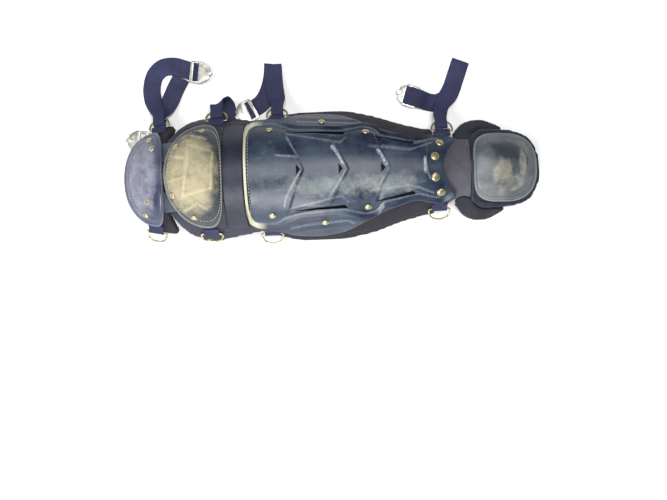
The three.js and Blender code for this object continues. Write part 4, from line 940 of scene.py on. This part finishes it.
# A ring's bar, which way it hangs, its face's normal and the way along the bar, read off its CAD solid
def ringFrame(name):
    x, y = ringSeats[name]
    side = math.copysign(1, y)
    normal = formNormal(np.array(float(x)), np.array(float(y)))
    along = np.array([side, 0, 0]) - side * normal[0] * normal
    along /= np.linalg.norm(along)
    points = localPoints(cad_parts["ring_" + name].data)
    middle = (points.min(0) + points.max(0)) / 2
    flat = points - middle
    flat -= np.outer(flat @ along, along)
    hang = np.linalg.svd(flat - flat.mean(0), full_matrices=False)[2][0]
    hang *= math.copysign(1, hang @ np.cross(normal, along))
    middle = points.mean(0)
    bar = middle + hang * (((points - middle) @ hang).min() + ringWire)
    return bar, hang, np.cross(along, hang), along


rings = {name: ringFrame(name) for name in ringSeats}
for name, (bar, hang, facing, along) in rings.items():
    turn = np.linspace(0, math.pi, 30)
    c, s = np.cos(turn), np.sin(turn)
    bow = bar + np.outer(ringHalf * np.sign(c) * np.abs(c) ** 0.8, along) \
        + np.outer(ringWire + (ringReach - ringWire) * s**0.8, hang)
    straight = [bar - along * (ringHalf - ringWire), bar + along * (ringHalf - ringWire)]
    piece = addTube(f"ring_{name}_wire", [*straight, *bow], ringWire, brass, closed=True)
    finishPiece(piece, "brass", "ring_" + name)
    tab = bevelled("tab_" + name, webbingCloth, "webbing", 0.35)
    layer = tab.data.uv_layers.new(name="UVMap")
    local = localPoints(tab.data) - bar
    for loop in tab.data.loops:
        spot = local[loop.vertex_index]
        layer.data[loop.index].uv = (float(spot @ hang) * mm, float(spot @ along) * mm)
print("strips, rings and tabs")

# One cap, turned from its profile and set on every rivet's foot by a node tree
rivet = {"segments": 28,
         # radius as a share of the cap's, and height in mm
         "profile": [(0, 2.0), (0.38, 1.95), (0.66, 1.7), (0.81, 1.25), (0.85, 0.95), (0.91, 1.0),
                     (0.99, 0.75), (1, 0.3), (0.965, 0), (0, 0)]}


def rivetCap():
    turn = np.linspace(0, 2 * math.pi, rivet["segments"], endpoint=False)
    loops = [[(r * math.cos(a), r * math.sin(a), h * mm) for a in turn] for r, h in rivet["profile"][1:-1]]
    count = len(turn)
    index = np.arange(len(loops) * count).reshape(len(loops), count)
    after = np.roll(index, -1, axis=1)
    faces = np.stack([index[:-1], index[1:], after[1:], after[:-1]], -1).reshape(-1, 4).tolist()
    faces += [index[0].tolist(), index[-1][::-1].tolist()]
    mesh = bpy.data.meshes.new("rivet cap")
    mesh.from_pydata([p for loop in loops for p in loop], [], faces)
    return bpy.data.objects.new("rivet cap", mesh)


# Inputs: the cap, each foot's way up and radius, and the metal
def rivetGroup():
    group = bpy.data.node_groups.new("rivets on their feet", "GeometryNodeTree")
    for key, kind in (("Geometry", "Geometry"), ("Cap", "Object"), ("Metal", "Material")):
        group.interface.new_socket(key, in_out="INPUT", socket_type="NodeSocket" + kind)
    group.interface.new_socket("Geometry", in_out="OUTPUT", socket_type="NodeSocketGeometry")
    start = addNode(group, "NodeGroupInput")
    cap = addNode(group, "GeometryNodeObjectInfo", inputs={"Object": start.outputs["Cap"]})
    up = addNode(group, "GeometryNodeInputNamedAttribute", {"data_type": "FLOAT_VECTOR"}, {"Name": "up"})
    radius = addNode(group, "GeometryNodeInputNamedAttribute", {"data_type": "FLOAT"}, {"Name": "radius"})
    size = addNode(group, "ShaderNodeCombineXYZ", inputs={0: radius.outputs[0], 1: radius.outputs[0], 2: 1})
    turn = addNode(group, "FunctionNodeAlignRotationToVector", {"axis": "Z"}, {"Vector": up.outputs[0]})
    placed = addNode(group, "GeometryNodeInstanceOnPoints", inputs={
        "Points": start.outputs["Geometry"], "Instance": cap.outputs["Geometry"], "Rotation": turn.outputs[0],
        "Scale": size.outputs[0]})
    real = addNode(group, "GeometryNodeRealizeInstances", inputs={"Geometry": placed.outputs[0]})
    painted = addNode(group, "GeometryNodeSetMaterial", inputs={
        "Geometry": real.outputs[0], "Material": start.outputs["Metal"]})
    addNode(group, "NodeGroupOutput", inputs={"Geometry": painted.outputs[0]})
    return group


rivetNodes = sorted(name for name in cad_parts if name.startswith("rivet_"))
feet, ways, radii = [], [], []
for name in rivetNodes:
    local = localPoints(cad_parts[name].data)
    middle = local.mean(0)
    up = np.linalg.svd(local - middle, full_matrices=False)[2][2]
    up *= math.copysign(1, up[2])
    rise = (local - middle) @ up
    feet.append(middle + up * rise.min())
    ways.append(up)
    radii.append(np.linalg.norm(local - middle - np.outer(rise, up), axis=1).max() * mm)
rivetCaps = addPiece("rivet_caps", feet, [], brass)
rivetCaps.data.attributes.new("up", "FLOAT_VECTOR", "POINT").data.foreach_set("vector", np.concatenate(ways))
setAttribute(rivetCaps.data, "radius", radii)
setRivets = rivetCaps.modifiers.new("rivets", "NODES")
setRivets.node_group = rivetGroup()
cap = rivetCap()
setInputs(setRivets, {"Cap": cap, "Metal": brass})
applied(rivetCaps)
bpy.data.objects.remove(cap)
smoothFaces(rivetCaps.data)
rivetCaps.data.set_sharp_from_angle(angle=math.radians(50))
finishPiece(rivetCaps, "brass", *rivetNodes)
for name in ("thigh", "knee", "calf", "ankle"):
    bevelled("buckle_" + name, nickel, "buckle_metal", 0.45)
print("rivets and buckles")

strap = {"wall": 1.8, "width": 23.5, "pinch": 16, "flatBelow": 3, "finer": 5}
laid = strap["wall"] / 2 + 0.2
over = laid + strap["wall"] + 0.5


# Stops round a ring's bow: (x, y, z, width, held)
def throughRing(name, last=7):
    bar, hang, facing, _ = rings[name]
    clear = ringWire + strap["wall"] / 2 + 0.3
    inside, pinch = ringReach / 2 - 2, strap["pinch"]
    stops = [(ringReach + 9, clear + 0.2, pinch + 2), (ringReach + 1, clear + 0.4, pinch),
             (inside + 2.2, clear - 0.2, pinch), (inside - 0.4, 0, pinch), (inside + 2.2, 0.2 - clear, pinch),
             (ringReach + 1, -clear - 0.4, pinch), (ringReach + 9, -clear - 0.2, pinch + 2)]
    return [(*(bar + hang * out + facing * rise), width, 1) for out, rise, width in stops[:last]]


straps = {
    "thigh": {"side": (0, 1, 0), "steps": 38, "stops": [
        (-181, 144, laid + 0.6), (-190, 145.5, laid), (-203, 150, over - 0.8), (-217, 154, over),
        (-232, 152.5, over - 0.5), (-243, 143, laid + 0.5), (-248, 127, laid), (-247, 111, laid + 1.5),
        (-242.5, 98, 6.5, 20), *throughRing("thigh_upper"), (-229, 97, 5, 20), (-223, 110, laid + 0.6),
        (-216, 125, laid), (-208, 139, laid)]},
    "knee": {"side": (0, 1, 0), "steps": 34, "stops": [
        (-261, 54, laid + 0.4), (-240, 50.5, laid), (-205, 47, laid), (-178, 47, laid), (-161, 54, laid),
        (-149, 68, laid), (-146.5, 84, laid + 0.2), (-149, 98, laid + 2.2), (-151.5, 103, laid + 6, 21),
        (-154, 101.5, 13, 19), *throughRing("knee_upper", 6)]},
    "calf": {"side": (-0.5, 0.86, 0), "steps": 34, "stops": [
        (-120, 90.5, laid + 0.4), (-112, 94, laid), (-100, 102.5, laid), (-92, 116, laid), (-87, 132, laid),
        (-85, 147, laid + 0.1), (-84.7, 151.6, laid + 1.4), (-84.5, 147, over + 0.5), (-84, 132, over + 0.3),
        (-82.5, 115, over + 2), (-80, 103, 9.5, 21), *throughRing("calf_upper", 6)]},
    "ankle": {"side": (0.3, 0.95, 0), "steps": 38, "stops": [
        (90, 104.5, 6.4), (108, 98.5, 6.4), (119, 94.5, laid + 1), (126, 92.8, laid), (134, 92.5, laid),
        (144.5, 97.5, laid), (152.5, 109.5, laid), (159, 126, laid), (165, 142, laid + 0.1),
        (166.8, 146.6, laid + 1.4), (165, 142, over + 0.5), (158.5, 124, over + 0.3), (150, 103, over + 1),
        (139.5, 89, 7.5, 20), *throughRing("ankle_upper", 6)]},
}


# Point of a smooth curve through the stops, at a share of its stops
def curvePoint(stops, share):
    last = len(stops) - 1
    place = min(max(share, 0), 1) * last
    k = min(int(place), last - 1)
    p1, p2 = stops[k], stops[k + 1]
    p0 = stops[k - 1] if k > 0 else 2 * p1 - p2
    p3 = stops[k + 2] if k + 2 <= last else 2 * p2 - p1
    d0, d1, d2 = (max(np.linalg.norm(b - a), 1e-6) ** 0.5 for a, b in ((p0, p1), (p1, p2), (p2, p3)))
    t1 = ((p1 - p0) / d0 - (p2 - p0) / (d0 + d1) + (p2 - p1) / d1) * d1
    t2 = ((p2 - p1) / d1 - (p3 - p1) / (d1 + d2) + (p3 - p2) / d2) * d1
    t = place - k
    return p1 + t * t1 + t * t * (3 * (p2 - p1) - 2 * t1 - t2) + t**3 * (2 * (p1 - p2) + t1 + t2)


# Section of the webbing, as shares of its half width and of its thickness
webbingSection = [(-1, -0.25), (-0.985, -0.42), (-0.93, -0.5), (-0.45, -0.5), (0, -0.5), (0.45, -0.5),
                  (0.93, -0.5), (0.985, -0.42), (1, -0.25), (1, 0.25), (0.985, 0.42), (0.93, 0.5),
                  (0.45, 0.5), (0, 0.5), (-0.45, 0.5), (-0.93, 0.5), (-0.985, 0.42), (-1, 0.25)]


def buildStrap(name, route):
    stops = [tuple(s) + (strap["width"], 0)[len(s) - 3:] for s in route["stops"]]
    places = [np.array(s[:3], float) for s in stops]
    spread = {"at": np.linspace(0, 1, len(stops)), "width": [s[3] for s in stops],
              "held": [s[4] for s in stops]}
    finer, wall = strap["finer"], strap["wall"]
    steps = route["steps"] * finer
    ringAlong = rings[name + "_upper"][3]
    across = np.array(route["side"], float)
    points, uvs, length, before = [], [], 0.0, None
    for k in range(steps + 1):
        share = k / steps
        middle = curvePoint(places, share)
        along = curvePoint(places, share + 1e-3) - curvePoint(places, share - 1e-3)
        along /= np.linalg.norm(along)
        length += 0 if before is None else np.linalg.norm(middle - before)
        before = middle
        rise = np.clip((middle[2] - strap["flatBelow"]) / (3 * strap["flatBelow"]), 0, 1)
        across[2] *= (rise * rise * (3 - 2 * rise)) ** (1 / finer)
        held = 1 - (1 - min(float(tableAt(spread, "held", share)), 0.9999)) ** (1 / finer)
        across = across * (1 - held) + ringAlong * math.copysign(1, across @ ringAlong) * held
        across = across - along * (across @ along)
        across /= np.linalg.norm(across)
        out = np.cross(along, across)
        half = float(tableAt(spread, "width", share)) / 2
        ripple = 0.12 * math.sin(length / 3.1) * (middle[2] > laid + 0.3)
        for w, t in webbingSection:
            points.append(middle + across * w * half + out * (t * wall + ripple))
            uvs.append((length * mm, w * half * mm))
    count = len(webbingSection)
    faces = [[k * count + c, k * count + (c + 1) % count,
              (k + 1) * count + (c + 1) % count, (k + 1) * count + c]
             for k in range(steps) for c in range(count)]
    faces += [list(range(count))[::-1], [steps * count + c for c in range(count)]]
    points = np.array(points)
    points[:, 2] = np.maximum(points[:, 2], 0.05)
    piece = addPiece(f"strap_{name}_webbing", points, faces, webbingCloth)
    layer = piece.data.uv_layers.new(name="UVMap")
    for loop in piece.data.loops:
        layer.data[loop.index].uv = uvs[loop.vertex_index]
    piece.data.set_sharp_from_angle(angle=math.radians(60))
    finishPiece(piece, "webbing", "strap_" + name)
    return length


for name, route in straps.items():
    print(f"strap {name}: {buildStrap(name, route):.0f} mm")


# Row of stitches along a line of edges: spacing, stitch length and thickness are the group's inputs
def stitchGroup():
    group = bpy.data.node_groups.new("row of stitches", "GeometryNodeTree")
    group.interface.new_socket("Geometry", in_out="INPUT", socket_type="NodeSocketGeometry")
    for key in ("Spacing", "Stitch", "Thickness"):
        group.interface.new_socket(key, in_out="INPUT", socket_type="NodeSocketFloat")
    group.interface.new_socket("Thread", in_out="INPUT", socket_type="NodeSocketMaterial")
    group.interface.new_socket("Geometry", in_out="OUTPUT", socket_type="NodeSocketGeometry")
    start = addNode(group, "NodeGroupInput")
    line = addNode(group, "GeometryNodeMeshToCurve", inputs={"Mesh": start.outputs["Geometry"]})
    even = addNode(group, "GeometryNodeResampleCurve", {"mode": "LENGTH"}, {
        "Curve": line.outputs[0], "Length": start.outputs["Spacing"]})
    ball = addNode(group, "GeometryNodeMeshUVSphere", inputs={"Segments": 6, "Rings": 4, "Radius": 0.5})
    size = addNode(group, "ShaderNodeCombineXYZ", inputs={
        0: start.outputs["Stitch"], 1: start.outputs["Thickness"], 2: start.outputs["Thickness"]})
    facing = addNode(group, "GeometryNodeInputTangent")
    turn = addNode(group, "FunctionNodeAlignRotationToVector", {"axis": "X"}, {"Vector": facing.outputs[0]})
    placed = addNode(group, "GeometryNodeInstanceOnPoints", inputs={
        "Points": even.outputs[0], "Instance": ball.outputs["Mesh"], "Rotation": turn.outputs[0],
        "Scale": size.outputs[0]})
    real = addNode(group, "GeometryNodeRealizeInstances", inputs={"Geometry": placed.outputs[0]})
    painted = addNode(group, "GeometryNodeSetMaterial", inputs={
        "Geometry": real.outputs[0], "Material": start.outputs["Thread"]})
    addNode(group, "NodeGroupOutput", inputs={"Geometry": painted.outputs[0]})
    return group


stitches = stitchGroup()


def addStitches(name, lines, material, slot, spacing=4.2, stitch=3.0, thickness=0.7):
    mesh = bpy.data.meshes.new(name)
    points = np.concatenate(lines)
    edges, first = [], 0
    for line in lines:
        edges += [(first + k, first + k + 1) for k in range(len(line) - 1)]
        first += len(line)
    mesh.from_pydata(((points - layoutMiddle) * mm).tolist(), edges, [])
    piece = linked(name, mesh)
    row = piece.modifiers.new("stitches", "NODES")
    row.node_group = stitches
    setInputs(row, {"Spacing": spacing * mm, "Stitch": stitch * mm, "Thickness": thickness * mm,
                    "Thread": material})
    applied(piece)
    smoothFaces(piece.data)
    return finishPiece(piece, slot)


dropHeight = 0.3  # metres, well over the highest shell


# Points on a piece straight under the places given
def dropOnto(piece, x, y, lift):
    points = []
    for px, py in zip(x, y):
        start = Vector(((px - layoutMiddle[0]) * mm, (py - layoutMiddle[1]) * mm, dropHeight))
        hit, spot, normal, _ = piece.ray_cast(start, Vector((0, 0, -1)))
        if hit:
            points.append(np.array(spot + normal * lift * mm) / mm + layoutMiddle)
    return np.array(points)


bpy.context.view_layer.update()
# Thread, and place of the row as a share of the cup's reach
stitchRows = {"thigh_cup": ("dark", 0.9), "knee_cup": ("pale", 0.945), "toe_plate": ("dark", 0.92)}
for name, (key, row) in stitchRows.items():
    x, y = cupPlace(cups[name], row, np.linspace(0, 2 * math.pi, 240))
    addStitches(name + "_stitches", [dropOnto(cupPieces[name], x, y, 0.1)], threads[key], cups[name]["slot"])
kneeRow = {"half": 50, "inFromEnd": 5.2, "points": 120}
y = np.linspace(-kneeRow["half"], kneeRow["half"], kneeRow["points"])
x = np.full(kneeRow["points"], shin["start"] + kneeRow["inFromEnd"])
addStitches("shin_plate_stitches", [dropOnto(shinPlate, x, y, 0.1)], threads["pale"], "shin_shell")
# Columns in from the pad's edge, and rows left out at its ends
seams = {"shin_pad": (4, 3), "knee_pad": (4, 5), "toe_pad": (5, 3)}
for name, (column, rows) in seams.items():
    upper, _ = padGrid(name)
    lines = [dropOnto(padPieces[name], *upper[rows:-rows, side, :2].T, 0.05)
             for side in (column, -1 - column)]
    addStitches(name + "_seams", lines, threads["seam"], pads[name]["slot"],
                spacing=3.4, stitch=2.4, thickness=0.6)
print("stitches")
